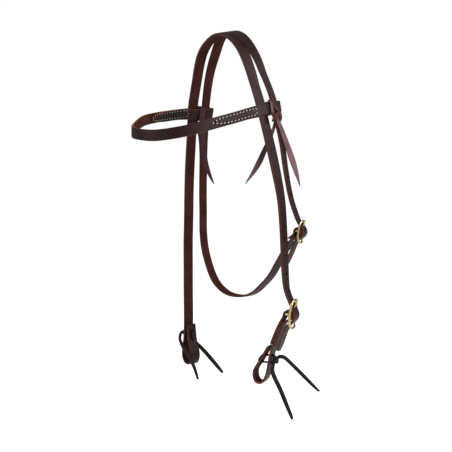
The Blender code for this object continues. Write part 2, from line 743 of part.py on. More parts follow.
def straight_lace(name, stations, width, thickness):
    rows = strap_rows([station(row[:3], row[3:6], width * row[6]) for row in stations])
    return leather_piece(name, cells(rows), None, thickness)


def tail_stations(origin, axes, table, scale, flat_way):
    """Stations of a tail from its knot; the width lies square to the path and to flat_way."""
    places = [origin + sum((axis * part * scale for axis, part in zip(axes, row[:3])), Vector())
              for row in table]
    made = []
    for index, place in enumerate(places):
        before, after = places[max(index - 1, 0)], places[min(index + 1, len(places) - 1)]
        way = (after - before).normalized().cross(flat_way).normalized()
        wide = table[index][3] if len(table[index]) > 3 else 1.0
        made.append(station(place, way, wide))
    return made


def bit_tie(name, legs, axes, tails, finish):
    """Lace through two pairs of holes, knotted outside, with two cut tails."""
    outer_high, inner_high, inner_low, outer_low = legs
    out, side, up = axes
    down = (inner_low - inner_high).normalized()
    off = -(out - out.dot(down) * down).normalized()
    through = out * (LEATHER / 2 + FIT)
    face = off * (LEATHER / 2 + FIT + LACE_THICKNESS / 2)
    turn = down * LACE_THICKNESS
    rim_rise = math.sqrt(LACE_HOLE_RADIUS ** 2 - (LACE_WIDTH / 2) ** 2)
    rim = (inner_low + down * rim_rise / down.dot(up)
           + out * LEATHER / 2 / off.dot(out))
    wrap = [rim + aim.normalized() * (LACE_THICKNESS / 2 + FIT * 3)
            for aim in (off + down * 0.2, off + down * 1.6, -up)]
    knot = (outer_high + outer_low) / 2 + out * (LEATHER / 2 + 3 * FIT + LACE_KNOT[0])
    bridge = [knot + up * LACE_HOLE_SPACING * 0.35, outer_high + through * 2, outer_high,
              inner_high, inner_high - through, inner_high + face + turn, *wrap, outer_low,
              outer_low + through * 2, knot - up * LACE_HOLE_SPACING * 0.35]
    rows = strap_rows([station(place, side, LACE_WIDTH) for place in bridge])
    body = leather_piece(name, cells(rows), finish, LACE_THICKNESS)
    long_axis = (outer_high - outer_low).normalized()
    lump_axes = (side.cross(long_axis).normalized(), side, long_axis)
    combine(body, knot_lump(f"{name}_knot", knot, lump_axes, LACE_KNOT), "UNION")
    for index, table in enumerate(tails):
        stations = tail_stations(knot, axes, table, LACE_TAIL_LENGTH, side)
        tail = straight_lace(f"{name}_tail_{index}", stations, LACE_WIDTH, LACE_THICKNESS)
        combine(body, tail, "UNION")
    return body


def browband_tie(name, nips, rise, along, side, leaves, finish):
    """Lace cinched round both layers of the browband, knotted below, with two leaf tails."""
    out = along.cross(rise).normalized() * side
    up = out.cross(along).normalized() * side
    middle = (nips[0] + nips[1]) / 2
    half_out = (nips[0] - nips[1]).dot(out) / 2 + LEATHER / 2 + 2 * FIT + TIE_THICKNESS / 2
    half_up = BAND_WIDTH / 2 + 2 * FIT + TIE_THICKNESS / 2
    corner = TIE_THICKNESS * 0.6
    loop = []
    for sign_out, sign_up, along_first in ((1, 1, True), (1, -1, False), (-1, -1, True),
                                           (-1, 1, False)):
        ends = [(half_out - corner * 2.5, half_up), (half_out - corner, half_up),
                (half_out, half_up - corner), (half_out, half_up - corner * 2.5)]
        for part_out, part_up in (ends if along_first else reversed(ends)):
            loop.append(middle + out * part_out * sign_out + up * part_up * sign_up)
    stations = [station(place, along, TIE_WIDTH) for place in loop]
    rows = strap_rows(stations, closed=True)
    body = leather_piece(name, cells(rows, closed=True), finish, TIE_THICKNESS)

    out_share, back_share, up_share = TIE_KNOT_PLACE_SHARES
    knot = middle + out * (half_out + out_share * TIE_TAIL_LENGTH)
    knot += along * back_share * TIE_TAIL_LENGTH + up * up_share * TIE_TAIL_LENGTH
    combine(body, knot_lump(f"{name}_knot", knot, (out, along, up), TIE_KNOT), "UNION")
    inside = middle - out * half_out - up * half_up * 0.8
    flat = Vector((1.0, BAND_LEAN_SHARE, 0.0)).normalized()
    axes = (Vector((side, 0.0, 0.0)), Vector((0.0, 1.0, 0.0)), -UP)
    for index, (origin, table) in enumerate(zip((knot, inside), leaves)):
        stations = tail_stations(origin, axes, table, TIE_TAIL_LENGTH, flat)
        tail = straight_lace(f"{name}_leaf_{index}", stations, TIE_LEAF_WIDTH, TIE_THICKNESS)
        combine(body, tail, "UNION")
    return body


def beside(stations, first, last, distance):
    """Stations beside part of a strap that bends in its own plane, nearest the end first."""
    made = []
    for index in range(last, first - 1, -1):
        before, after = np.array(stations[index - 1]), np.array(stations[index + 1])
        along = Vector(after[:3] - before[:3]).normalized()
        way = Vector(stations[index][3:6])
        place = Vector(stations[index][:3]) - along.cross(way).normalized() * distance
        made.append(station(place, way, stations[index][6]))
    return made


def fold_skip(rows, buckle, low_deg, high_deg):
    """Cells of the slot in a fold, by their angle round the fold's middle."""
    middle = buckle.at(0.0, buckle.fold_height)
    skip = set()
    for index in range(len(rows) - 1):
        place = (row_middle(rows[index]) + row_middle(rows[index + 1])) / 2 - middle
        if place.length > buckle.fold_radius * 1.15:
            continue
        angle = math.degrees(math.atan2(place.z, place.dot(buckle.out)))
        if low_deg < angle + (360 if angle < -90 else 0) < high_deg:
            skip.add((index, 1))
    return skip


def build():
    clear_scene()
    grain = material("oiled_leather", (0.045, 0.022, 0.022), 0.5)
    latigo = material("latigo_leather", (0.19, 0.115, 0.13), 0.6)
    lace = material("lace_leather", (0.024, 0.022, 0.020), 0.6)
    brass = material("brass", (0.58, 0.44, 0.16), 0.28, 1.0)

    cheek = Buckle("cheek_buckle", CHEEK_BAR_SHARES, CHEEK_SWEEP, CHEEK_WIRE, CHEEK_BAR,
                   CHEEK_SIDE_ROOM, CHEEK_FRAME_RISE, CHEEK_FRAME_DROP, CHEEK_RAIL_SET,
                   CHEEK_FRAME_BOW, CHEEK_FRAME_LEAN, CHEEK_FOLD_RADIUS, CHEEK_WIDTH)
    throat = Buckle("throat_buckle", THROAT_BAR_SHARES, THROAT_SWEEP, THROAT_WIRE, THROAT_BAR,
                    THROAT_SIDE_ROOM, THROAT_FRAME_RISE, THROAT_FRAME_DROP, THROAT_RAIL_SET,
                    THROAT_FRAME_BOW, THROAT_FRAME_LEAN, THROAT_FOLD_RADIUS, THROAT_WIDTH)

    fronts, rears = {}, {}
    for side in (1, -1):
        fronts[side] = branch_stations(FRONT_BRANCH_SHARES, CHEEK_SWEEP, CHEEK_WIDTH, side,
                                       side > 0)
        rears[side] = branch_stations(REAR_BRANCH_SHARES, THROAT_SWEEP, THROAT_WIDTH, side,
                                      side > 0)
    build_straps(cheek, throat, fronts, rears, grain)
    build_browband(fronts, rears, grain, latigo)
    build_bit_ends(cheek, grain, lace)
    for buckle in (cheek, throat):
        ring_frame(buckle, brass)
        tongue(buckle, brass)


def far_loop_place():
    out, back, down = FAR_LOOP_PLACE_SHARES
    return Vector((out * STRAP_SPREAD, back * CHEEK_SWEEP, -down * CHEEK_DROP))


def build_straps(cheek, throat, fronts, rears, finish):
    """Crown with its near billets, and below the far split the cheek and the throatlatch."""
    tilt_way = width_way(0.0, CROWN_TILT_DEG)
    middle_rows = []
    for share in (-1.0, -0.5, 0.0, 0.5, 1.0):
        centre = crown_centre(share * SLIT_START)
        slope = Vector((1.0, 0.0, -2 * CROWN_SAG * share / SLIT_START)).normalized()
        normal = slope.cross(tilt_way).normalized()
        middle_rows.append([Spot(centre + tilt_way * CROWN_WIDTH * part, normal)
                            for part in (-0.5, 0.0, 0.5)])
    quads = cells(middle_rows)

    near_front = crown_roots(1, -1) + fronts[1] + local_stations(cheek, CHEEK_BILLET_SHARES,
                                                                 CHEEK_WIDTH, cheek.rise)
    near_rear = crown_roots(1, 1) + rears[1] + local_stations(throat, THROAT_BILLET_SHARES,
                                                              THROAT_WIDTH, throat.rise)
    near_front_rows = strap_rows(pointed(near_front, BIT_END_LENGTH), first=1)
    near_rear_rows = strap_rows(pointed(near_rear, BIT_END_LENGTH), first=1)
    near_front_rows[0] = middle_rows[-1][:2]
    near_rear_rows[0] = middle_rows[-1][1:]

    far_front = (crown_roots(-1, -1) + fronts[-1][:FAR_CHEEK_SHARED_ROWS]
                 + branch_stations(FAR_CHEEK_END_SHARES, CHEEK_SWEEP, CHEEK_WIDTH, -1, False)
                 + far_loop_stations())
    far_rear = crown_roots(-1, 1) + rears[-1] + throatlatch_stations(throat)
    far_front_rows = strap_rows(far_front, first=1, grain=-1)
    far_rear_rows = strap_rows(far_rear, first=1, grain=-1, slot=TONGUE_SLOT)
    far_front_rows[0] = middle_rows[0][:2]
    far_rear_rows[0] = [middle_rows[0][1]] + blend_spots(middle_rows[0][1], middle_rows[0][2]) + [
        middle_rows[0][2]]
    upper_front, cheek_rows = split_hanging(far_front_rows)
    upper_rear, throat_rows = split_hanging(far_rear_rows)
    upper_rear = [[row[0], row[-1]] for row in upper_rear]

    for rows, sign in ((near_front_rows, 1), (near_rear_rows, 1), (upper_front, -1),
                       (upper_rear, -1)):
        quads += cells(rows, sign)
    crown = leather_piece("crown_strap", quads, finish)
    punch(crown, billet_holes(near_front_rows, cheek, 4, 2)
          + billet_holes(near_rear_rows, throat, 3, 1))

    far_cheek = leather_piece("far_cheek_strap", cells(cheek_rows, -1), finish)
    punch(far_cheek, lace_holes(far_lace_legs(), Vector((1.0, 0.0, 0.0))))
    skip = fold_skip(throat_rows, throat, -15.0, 200.0)
    leather_piece("throatlatch", cells(throat_rows, -1, skip), finish)


def blend_spots(first, last):
    """Two spots between the ends of a wide row, so that it has as many columns as the rest."""
    return [Spot(first.place.lerp(last.place, share), first.normal) for share in (1 / 3, 2 / 3)]


def split_hanging(rows):
    height = BAND_REAR_HEIGHT - BAND_WIDTH * 0.12
    hanging = next(k for k, row in enumerate(rows) if row_middle(row).z < height)
    upper, lower = split_rows(rows[:hanging + 2], height)
    return upper, lower + rows[hanging + 2:]


def far_loop_stations():
    origin = far_loop_place()
    return [station(origin + Vector((across * BIT_END_LENGTH, 0.0, up * BIT_END_LENGTH)),
                    width_way(0.0), CHEEK_WIDTH) for across, up in FAR_LOOP_SHARES]


def throatlatch_stations(throat):
    top = THROAT_START_SHARE * CHEEK_DROP
    leg = []
    for out, back, down, turn in THROATLATCH_SHARES:
        place = (out * STRAP_SPREAD, back * THROAT_SWEEP, -(top + down * (THROAT_DIP - top)))
        leg.append(station(place, width_way(turn), THROAT_WIDTH))
    leg += reversed(local_stations(throat, THROAT_FOLD_LEG_SHARES, THROAT_WIDTH, throat.rise))
    fold = fold_stations(throat, (-60, -36, -15, 10, 35, 60, 90, 120, 150, 178), THROAT_WIDTH)
    pressed = beside(leg, len(leg) + THROAT_LEG_PRESSED[0], len(leg) + THROAT_LEG_PRESSED[1],
                     -(LEATHER + 2 * FIT))
    back = local_stations(throat, (THROAT_FOLD_BACK_SHARE,), THROAT_WIDTH, throat.rise)
    return leg + fold + back + pressed


def fold_stations(buckle, angles, width):
    return [station(buckle.fold_angle_place(degrees), buckle.side, width) for degrees in angles]


def bit_strap_stations(cheek):
    legs = local_stations(cheek, BIT_LEG_SHARES, CHEEK_WIDTH, BIT_END_LENGTH)
    fold = fold_stations(cheek, (178, 150, 120, 90, 60, 30, 5, -12), CHEEK_WIDTH)
    backs = local_stations(cheek, BIT_FOLD_BACK_SHARES, CHEEK_WIDTH, BIT_END_LENGTH)
    pressed = beside(legs, *BIT_LEG_PRESSED, LEATHER + FIT)
    return pressed + list(reversed(backs)) + fold + legs


def near_lace_legs(cheek):
    """Where the lace crosses the two legs of the near bit end: outer and inner, high and low."""
    scale = BIT_END_LENGTH
    highs = [(-0.271, -0.637), (-0.379, -0.637)]
    lows = [(-0.289, -0.742), (-0.442, -0.742)]
    outer_high, inner_high = (cheek.at(u * scale, v * scale) for u, v in highs)
    outer_low, inner_low = (cheek.at(u * scale, v * scale) for u, v in lows)
    return outer_high, inner_high, inner_low, outer_low


def far_lace_legs():
    origin, scale = far_loop_place(), BIT_END_LENGTH
    places = ((-0.009, 0.530), (0.083, 0.530), (0.104, 0.410), (-0.015, 0.410))
    return [origin + Vector((across * scale, 0.0, up * scale)) for across, up in places]


def lace_holes(legs, direction):
    return [(place, direction, LACE_HOLE_RADIUS) for place in legs]


def build_bit_ends(cheek, finish, lace):
    rows = strap_rows(bit_strap_stations(cheek), slot=TONGUE_SLOT)
    strap = leather_piece("near_bit_strap", cells(rows, 1, fold_skip(rows, cheek, 5.0, 178.0)),
                          finish)
    legs = near_lace_legs(cheek)
    punch(strap, lace_holes(legs, cheek.out))
    shift_origin(strap, cheek.place)
    near = bit_tie("near_bit_tie", legs, (cheek.out, cheek.side, UP),
                   (NEAR_UPPER_TAIL_SHARES, NEAR_LOWER_TAIL_SHARES), lace)
    shift_origin(near, cheek.place)
    bit_tie("far_bit_tie", far_lace_legs(),
            (Vector((-1.0, 0.0, 0.0)), Vector((0.0, 1.0, 0.0)), UP),
            (FAR_FRONT_TAIL_SHARES, FAR_REAR_TAIL_SHARES), lace)


def build_browband(fronts, rears, finish, latigo):
    loops, curves, laps = {}, {}, {}
    for side, table in ((1, BAND_NEAR_SHARES), (-1, BAND_FAR_SHARES)):
        loops[side] = band_side(fronts[side], rears[side], table, side)
        start = loops[side][0][0]
        back = abs(start[1]) / BAND_LENGTH
        span = abs(start[0]) / (1 - back ** BAND_POWER) ** (1 / BAND_POWER)
        curves[side] = band_curve(table, side, span)
        laps[side] = lap_stations(table, side, span)
    front = station((0.0, -BAND_LENGTH, BAND_REAR_HEIGHT - BAND_DROOP * BAND_FRONT_SHARE), UP,
                    BAND_WIDTH)
    stations = (list(reversed(laps[-1])) + list(reversed(loops[-1][0])) + curves[-1] + [front]
                + list(reversed(curves[1])) + loops[1][0] + laps[1])
    rows = strap_rows(stations, square=False)
    leather_piece("browband", cells(rows), finish)
    for side, name, leaves in (
            (1, "near_browband_tie", (NEAR_OUTER_LEAF_SHARES, NEAR_INNER_LEAF_SHARES)),
            (-1, "far_browband_tie", (FAR_OUTER_LEAF_SHARES, FAR_INNER_LEAF_SHARES))):
        _, nips, rise, along = loops[side]
        browband_tie(name, nips, rise, along, side, leaves, latigo)


build()
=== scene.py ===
"""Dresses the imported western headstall: leather, laces, brass, thread, light and camera."""

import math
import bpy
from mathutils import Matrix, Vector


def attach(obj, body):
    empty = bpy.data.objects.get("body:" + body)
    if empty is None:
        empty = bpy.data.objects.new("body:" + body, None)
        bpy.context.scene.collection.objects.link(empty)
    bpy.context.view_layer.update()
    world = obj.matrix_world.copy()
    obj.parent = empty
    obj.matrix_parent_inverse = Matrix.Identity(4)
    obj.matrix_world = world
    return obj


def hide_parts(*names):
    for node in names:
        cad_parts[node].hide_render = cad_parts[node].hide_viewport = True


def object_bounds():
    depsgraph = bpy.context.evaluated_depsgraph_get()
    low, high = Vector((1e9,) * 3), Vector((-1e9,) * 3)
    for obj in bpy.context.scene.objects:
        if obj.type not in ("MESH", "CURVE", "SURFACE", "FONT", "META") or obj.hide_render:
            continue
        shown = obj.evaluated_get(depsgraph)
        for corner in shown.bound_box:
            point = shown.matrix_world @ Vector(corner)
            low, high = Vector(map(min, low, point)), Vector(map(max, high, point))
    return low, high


bl_info = {
    "name": "Western Headstall Dressing",
    "version": (1, 0, 0),
    "blender": (4, 5, 0),
    "location": "3D View > Sidebar > Headstall",
    "description": "Finishes the straps, buckles, ties and stitching of a western headstall",
    "category": "Object",
}

import bmesh
import bpy
import numpy as np
from bpy.props import FloatProperty, FloatVectorProperty, IntProperty, PointerProperty
from mathutils import Vector
from mathutils.bvhtree import BVHTree
from mathutils.kdtree import KDTree

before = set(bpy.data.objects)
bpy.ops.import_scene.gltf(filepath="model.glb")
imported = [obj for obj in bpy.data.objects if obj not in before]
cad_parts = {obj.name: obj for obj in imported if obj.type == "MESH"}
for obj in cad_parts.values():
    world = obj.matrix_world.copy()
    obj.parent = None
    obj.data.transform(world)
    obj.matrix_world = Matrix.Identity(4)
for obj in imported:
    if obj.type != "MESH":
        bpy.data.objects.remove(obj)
CAD_BOX = [[float(value) for value in corner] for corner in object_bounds()]
HEAD_CENTRE = Vector((0.0, -0.03, -0.22))


def metres(rows):
    """A table in tenths of a millimetre, in metres."""
    return tuple(metres(row) if isinstance(row, tuple) else row / 10000 for row in rows)


def darker(colour, share):
    return tuple(part * share for part in colour)


def linked(name, data):
    """A new object of the scene that holds a mesh, lamp or camera."""
    made = bpy.data.objects.new(name, data)
    bpy.context.scene.collection.objects.link(made)
    return made


# Materials

class NodeBench:
    """Short ways to add and join nodes in one tree."""

    def __init__(self, tree):
        self.tree = tree

    def add(self, kind, settings=None, **inputs):
        node = self.tree.nodes.new(kind)
        for key, value in (settings or {}).items():
            setattr(node, key, value)
        for key, value in inputs.items():
            self.feed(node, key.replace("_", " "), value)
        return node

    def feed(self, node, key, value):
        socket = node.inputs[int(key) if key.isdigit() else key]
        if isinstance(value, bpy.types.NodeSocket):
            self.tree.links.new(value, socket)
        else:
            socket.default_value = value

    def math(self, operation, first, second=0.0, third=None, clamp=False):
        node = self.add("ShaderNodeMath", {"operation": operation, "use_clamp": clamp})
        for index, value in enumerate((first, second, third)):
            if value is not None:
                self.feed(node, str(index), value)
        return node.outputs[0]

    def mix(self, factor, first, second):
        node = self.add("ShaderNodeMix", {"data_type": "RGBA"})
        for key, value in (("0", factor), ("6", first), ("7", second)):
            self.feed(node, key, value)
        return node.outputs[2]

    def ramp(self, factor, stops):
        node = self.tree.nodes.new("ShaderNodeValToRGB")
        ramp = node.color_ramp
        while len(ramp.elements) < len(stops):
            ramp.elements.new(0.5)
        for element, (place, shade) in zip(ramp.elements, stops):
            element.position = place
            element.color = (shade, shade, shade, 1.0)
        self.tree.links.new(factor, node.inputs["Fac"])
        return node.outputs["Color"]


def new_tree(name, kind, inputs, outputs):
    """Node group with named sockets: its bench, what it is given and what it puts out."""
    tree = bpy.data.node_groups.new(name, kind)
    for label, socket_kind, value in inputs:
        socket = tree.interface.new_socket(name=label, in_out="INPUT",
                                           socket_type=f"NodeSocket{socket_kind}")
        if value is not None:
            socket.default_value = value
    for label, socket_kind in outputs:
        tree.interface.new_socket(name=label, in_out="OUTPUT",
                                  socket_type=f"NodeSocket{socket_kind}")
    bench = NodeBench(tree)
    return bench, bench.add("NodeGroupInput").outputs, bench.add("NodeGroupOutput")


def hide_group():
    """Leather, built once: pores and wrinkles, mottled dye, worn or darkened rims."""
    if bpy.data.node_groups.get("Hide"):
        return bpy.data.node_groups["Hide"]
    bench, source, sink = new_tree(
        "Hide", "ShaderNodeTree",
        (("Vector", "Vector", None), ("Rim", "Float", 1.0),
         ("Colour", "Color", (0.1, 0.05, 0.04, 1.0)), ("Mottle", "Color", (0.06, 0.03, 0.03, 1.0)),
         ("Rim Colour", "Color", (0.04, 0.02, 0.02, 1.0)), ("Rim Amount", "Float", 0.5),
         ("Pore Scale", "Float", 900.0), ("Fibre", "Float", 0.2), ("Roughness", "Float", 0.5)),
        (("Color", "Color"), ("Roughness", "Float"), ("Height", "Float")))
    vector = source["Vector"]
    warp = bench.add("ShaderNodeTexNoise", Vector=vector, Scale=140.0, Detail=3.0)
    bent = bench.add("ShaderNodeVectorMath", {"operation": "MULTIPLY_ADD"})
    bench.feed(bent, "0", warp.outputs["Color"])
    bent.inputs[1].default_value = (0.0012, 0.0012, 0.0012)
    bench.feed(bent, "2", vector)
    pores = bench.add("ShaderNodeTexVoronoi", {"feature": "DISTANCE_TO_EDGE"},
                      Vector=bent.outputs[0], Scale=source["Pore Scale"])
    pore = bench.ramp(pores.outputs["Distance"], ((0.0, 0.0), (0.16, 0.75), (0.5, 1.0)))
    fine = bench.add("ShaderNodeTexNoise", Vector=vector, Scale=2600.0, Detail=4.0)
    broad = bench.add("ShaderNodeTexNoise", Vector=vector, Scale=42.0, Detail=5.0)
    patch = bench.ramp(broad.outputs["Fac"], ((0.32, 0.0), (0.68, 1.0)))
    dye = bench.mix(patch, source["Colour"], source["Mottle"])
    speck = bench.ramp(fine.outputs["Fac"], ((0.35, 0.0), (0.65, 1.0)))
    fibre = bench.math("MULTIPLY", speck, source["Fibre"])
    dye = bench.mix(fibre, dye, source["Mottle"])
    rim = bench.math("SUBTRACT", 1.0, source["Rim"], clamp=True)
    rim = bench.math("POWER", rim, 1.6)
    rim = bench.math("MULTIPLY", rim, source["Rim Amount"], clamp=True)
    dye = bench.mix(rim, dye, source["Rim Colour"])
    bench.feed(sink, "Color", dye)
    lift = bench.math("MULTIPLY_ADD", patch, 0.10, source["Roughness"])
    lift = bench.math("MULTIPLY_ADD", pore, -0.07, lift, clamp=True)
    bench.feed(sink, "Roughness", lift)
    height = bench.math("MULTIPLY_ADD", fine.outputs["Fac"], 0.35, pore)
    height = bench.math("MULTIPLY_ADD", broad.outputs["Fac"], 0.9, height)
    bench.feed(sink, "Height", height)
    return bench.tree


def made_once(make):
    """Lets a finish be asked for again under its name without a second copy."""
    def get(name, *values, **more):
        return bpy.data.materials.get(name) or make(name, *values, **more)
    return get


def new_material(name):
    """An empty finish, with a bench for its nodes and its main shader."""
    made = bpy.data.materials.new(name)
    made.use_nodes = True
    return made, NodeBench(made.node_tree), made.node_tree.nodes["Principled BSDF"]


def add_relief(bench, shader, height, strength, distance):
    bend = bench.add("ShaderNodeBump", Height=height, Strength=strength, Distance=distance)
    bench.feed(shader, "Normal", bend.outputs["Normal"])


@made_once
def hide_material(name, colour, mottle, rim_colour, rim_amount, roughness, pore_scale, fibre,
                  bump, gloss, gloss_tint=(1.0, 1.0, 1.0)):
    """One finish of leather, with the values that set it apart from the others."""
    made, bench, shader = new_material(name)
    place = bench.add("ShaderNodeTexCoord")
    rim = bench.add("ShaderNodeAttribute", {"attribute_name": "rim"})
    hide = bench.add("ShaderNodeGroup", {"node_tree": hide_group()})
    for key, value in (("Vector", place.outputs["Object"]), ("Rim", rim.outputs["Fac"]),
                       ("Colour", (*colour, 1.0)), ("Mottle", (*mottle, 1.0)),
                       ("Rim Colour", (*rim_colour, 1.0)), ("Rim Amount", rim_amount),
                       ("Pore Scale", pore_scale), ("Fibre", fibre), ("Roughness", roughness)):
        bench.feed(hide, key, value)
    bench.feed(shader, "Base Color", hide.outputs["Color"])
    bench.feed(shader, "Roughness", hide.outputs["Roughness"])
    add_relief(bench, shader, hide.outputs["Height"], bump, 0.0004)
    shader.inputs["Specular IOR Level"].default_value = gloss
    shader.inputs["Specular Tint"].default_value = (*gloss_tint, 1.0)
    return made


@made_once
def brass_material(name, colour, roughness):
    """Cast brass, bright with duller clouds."""
    made, bench, shader = new_material(name)
    place = bench.add("ShaderNodeTexCoord")
    cloud = bench.add("ShaderNodeTexNoise", Vector=place.outputs["Object"], Scale=90.0,
                      Detail=3.0)
    dull_and_shade = bench.ramp(cloud.outputs["Fac"], ((0.35, 0.0), (0.7, 1.0)))
    bench.feed(shader, "Base Color",
               bench.mix(dull_and_shade, (*colour, 1.0), (*darker(colour, 0.72), 1.0)))
    bench.feed(shader, "Roughness", bench.math("MULTIPLY_ADD", dull_and_shade, 0.14, roughness))
    fine = bench.add("ShaderNodeTexNoise", Vector=place.outputs["Object"], Scale=1500.0,
                     Detail=2.0)
    add_relief(bench, shader, fine.outputs["Fac"], 0.04, 0.0001)
    shader.inputs["Metallic"].default_value = 1.0
    return made


@made_once
def thread_material(name, colour):
    """Waxed thread with a fine twist."""
    made, bench, shader = new_material(name)
    place = bench.add("ShaderNodeTexCoord")
    twist = bench.add("ShaderNodeTexWave", {"bands_direction": "DIAGONAL"},
                      Vector=place.outputs["Object"], Scale=420.0, Distortion=2.0)
    shade = bench.mix(twist.outputs["Fac"], (*darker(colour, 0.72), 1.0), (*colour, 1.0))
    bench.feed(shader, "Base Color", shade)
    add_relief(bench, shader, twist.outputs["Fac"], 0.4, 0.0002)
    shader.inputs["Roughness"].default_value = 0.6
    return made


# Meshes

# The order of a strap's finishes; the hole walls take near-black painted shade.
GRAIN, FLESH, EDGE, HOLE_WALL = range(4)

# How near points must be to be merged and how flat triangles to be joined, the bend at which a
# side ends, the share of the largest cut edge's area up to which a wall is a hole's, and the bend
# from which an edge within one finish is rounded.
MERGE_REACH = 1e-6
SHAPE_JOIN_DEG = 60.0
STRAP_JOIN_DEG = 1.5
CASTING_JOIN_DEG = 24.0
SHARP_DEG = 38.0
HOLE_SHARE = 0.05
CREASE_ANGLE = 0.9
CASTING_GROW = 0.0002

LACE_SIDES = 12
LACE_POWER = 3.0
LACE_POINT_SHARE = 0.7
LACE_STEP = 0.002
LACE_LOOP_STEP = 0.0015


def merged_copy(node, join_deg):
    """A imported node's shape as one joined mesh."""
    shape = bmesh.new()
    shape.from_mesh(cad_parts[node].data)
    bmesh.ops.remove_doubles(shape, verts=shape.verts, dist=MERGE_REACH)
    bmesh.ops.join_triangles(shape, faces=shape.faces, angle_face_threshold=math.radians(join_deg),
                             angle_shape_threshold=math.radians(SHAPE_JOIN_DEG))
    return shape


def face_regions(shape):
    """Groups of faces that meet without a sharp edge, largest first."""
    limit = math.radians(SHARP_DEG)
    seen, regions = set(), []
    for face in shape.faces:
        if face in seen:
            continue
        stack, region = [face], []
        seen.add(face)
        while stack:
            here = stack.pop()
            region.append(here)
            for edge in here.edges:
                if len(edge.link_faces) == 2 and edge.calc_face_angle() < limit:
                    for other in edge.link_faces:
                        if other not in seen:
                            seen.add(other)
                            stack.append(other)
        regions.append(region)
    regions.sort(key=lambda group: -sum(face.calc_area() for face in group))
    return regions


def outward_share(region):
    """How far a region's faces look away from the middle of the head."""
    total = 0.0
    for face in region:
        aim = (face.calc_center_median() - HEAD_CENTRE).normalized()
        total += face.calc_area() * face.normal.dot(aim)
    return total


def link_piece(name, mesh, body, nodes=()):
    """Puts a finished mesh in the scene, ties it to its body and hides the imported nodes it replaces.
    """
    piece = linked(name, mesh)
    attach(piece, body)
    if nodes:
        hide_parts(*nodes)


def plain_mesh(helper, name):
    """The mesh that a helper's modifiers make; the helper goes."""
    draft = helper.data
    graph = bpy.context.evaluated_depsgraph_get()
    mesh = bpy.data.meshes.new_from_object(helper.evaluated_get(graph))
    bpy.data.objects.remove(helper, do_unlink=True)
    bpy.data.meshes.remove(draft)
    mesh.name = name
    mesh.shade_smooth()
    return mesh


def subdivided(shape, levels, name):
    """Rounds a mesh by subdivision and gives the result as a plain mesh."""
    draft = bpy.data.meshes.new(name)
    shape.to_mesh(draft)
    shape.free()
    helper = linked(f"{name}_draft", draft)
    rounding = helper.modifiers.new("Rounding", "SUBSURF")
    rounding.levels = rounding.render_levels = levels
    return plain_mesh(helper, name)


def store_rim(mesh, values):
    layer = mesh.attributes.new("rim", "FLOAT", "POINT")
    layer.data.foreach_set("value", values)


def add_rim(mesh, reach):
    """Stores how far each point is from the strap's cut edge, from 0 at it to 1."""
    rim_points = {index for face in mesh.polygons if face.material_index >= EDGE
                  for index in face.vertices}
    tree = KDTree(len(rim_points))
    for index in rim_points:
        tree.insert(mesh.vertices[index].co, index)
    tree.balance()
    values = np.ones(len(mesh.vertices), dtype=np.float32)
    for vertex in mesh.vertices:
        values[vertex.index] = min(1.0, tree.find(vertex.co)[2] / reach)
    store_rim(mesh, values)


def dress_strap(node, body, materials, settings, grow=lambda place: 0.0):
    """Replaces a packed strap with a rounded one that has grain, flesh and cut edges; grow says
    how far the cut edge stands out at a place."""
    shape = merged_copy(node, STRAP_JOIN_DEG)
    regions = face_regions(shape)
    sheets = sorted(regions[:2], key=outward_share, reverse=True)
    for index, region in zip((GRAIN, FLESH), sheets):
        for face in region:
            face.material_index = index
    crease = shape.edges.layers.float.new("crease_edge")
    around = {}
    for region in regions[2:]:
        area = sum(face.calc_area() for face in region)
        for face in region:
            around[face] = area
    least = max(around.values(), default=0.0) * HOLE_SHARE
    outward = {}
    for face, area in around.items():
        face.material_index = EDGE if area > least else HOLE_WALL
        if area > least:
            for vert in face.verts:
                outward.setdefault(vert, Vector())
                outward[vert] += face.normal * face.calc_area()
    for vert, way in outward.items():
        vert.co += way.normalized() * grow(vert.co)
    soft = []
    for edge in shape.edges:
        first, second = edge.link_faces
        same = first.material_index == second.material_index
        if same and edge.calc_face_angle() < CREASE_ANGLE:
            continue
        if max(around.get(first, 0.0), around.get(second, 0.0)) > least:
            soft.append(edge)
        else:
            edge[crease] = 1.0
    bmesh.ops.bevel(shape, geom=soft, offset=settings.edge_round, segments=2, profile=0.5,
                    affect="EDGES", clamp_overlap=False, material=-1)
    mesh = subdivided(shape, settings.smooth_levels, f"{node}_leather")
    add_rim(mesh, settings.rim_reach)
    for material in materials:
        mesh.materials.append(material)
    link_piece(f"{node}_leather", mesh, body, (node,))


def round_square(steps, power):
    """Places round a unit ring; a power of 2 makes it a circle and more makes it squarer."""
    turns = [2 * math.pi * step / steps for step in range(steps)]
    return [[math.copysign(abs(part) ** (2 / power), part)
             for part in (math.cos(turn), math.sin(turn))] for turn in turns]


def neighbours(path, index, closed):
    """The places before and after one, which at an open end is itself its neighbour."""
    count = len(path)
    before = path[index - 1] if closed or index else path[index]
    after = path[(index + 1) % count] if closed or index < count - 1 else path[index]
    return before, after


def add_sweep(shape, path, ways, radii, sides=12, power=2.0, closed=False):
    """Adds a closed bar whose section runs along a path; ways gives its wide direction."""
    rings = []
    count = len(path)
    for index, place in enumerate(path):
        before, after = neighbours(path, index, closed)
        along = (after - before).normalized()
        side = (ways[index] - along * ways[index].dot(along)).normalized()
        lift = along.cross(side)
        wide, high = radii[index]
        rings.append([shape.verts.new(place + side * wide * across + lift * high * up)
                      for across, up in round_square(sides, power)])
    for index in range(count if closed else count - 1):
        ring, after = rings[index], rings[(index + 1) % count]
        for step in range(sides):
            turn = (step + 1) % sides
            shape.faces.new((ring[step], ring[turn], after[turn], after[step]))
    if not closed:
        shape.faces.new(list(reversed(rings[0])))
        shape.faces.new(rings[-1])


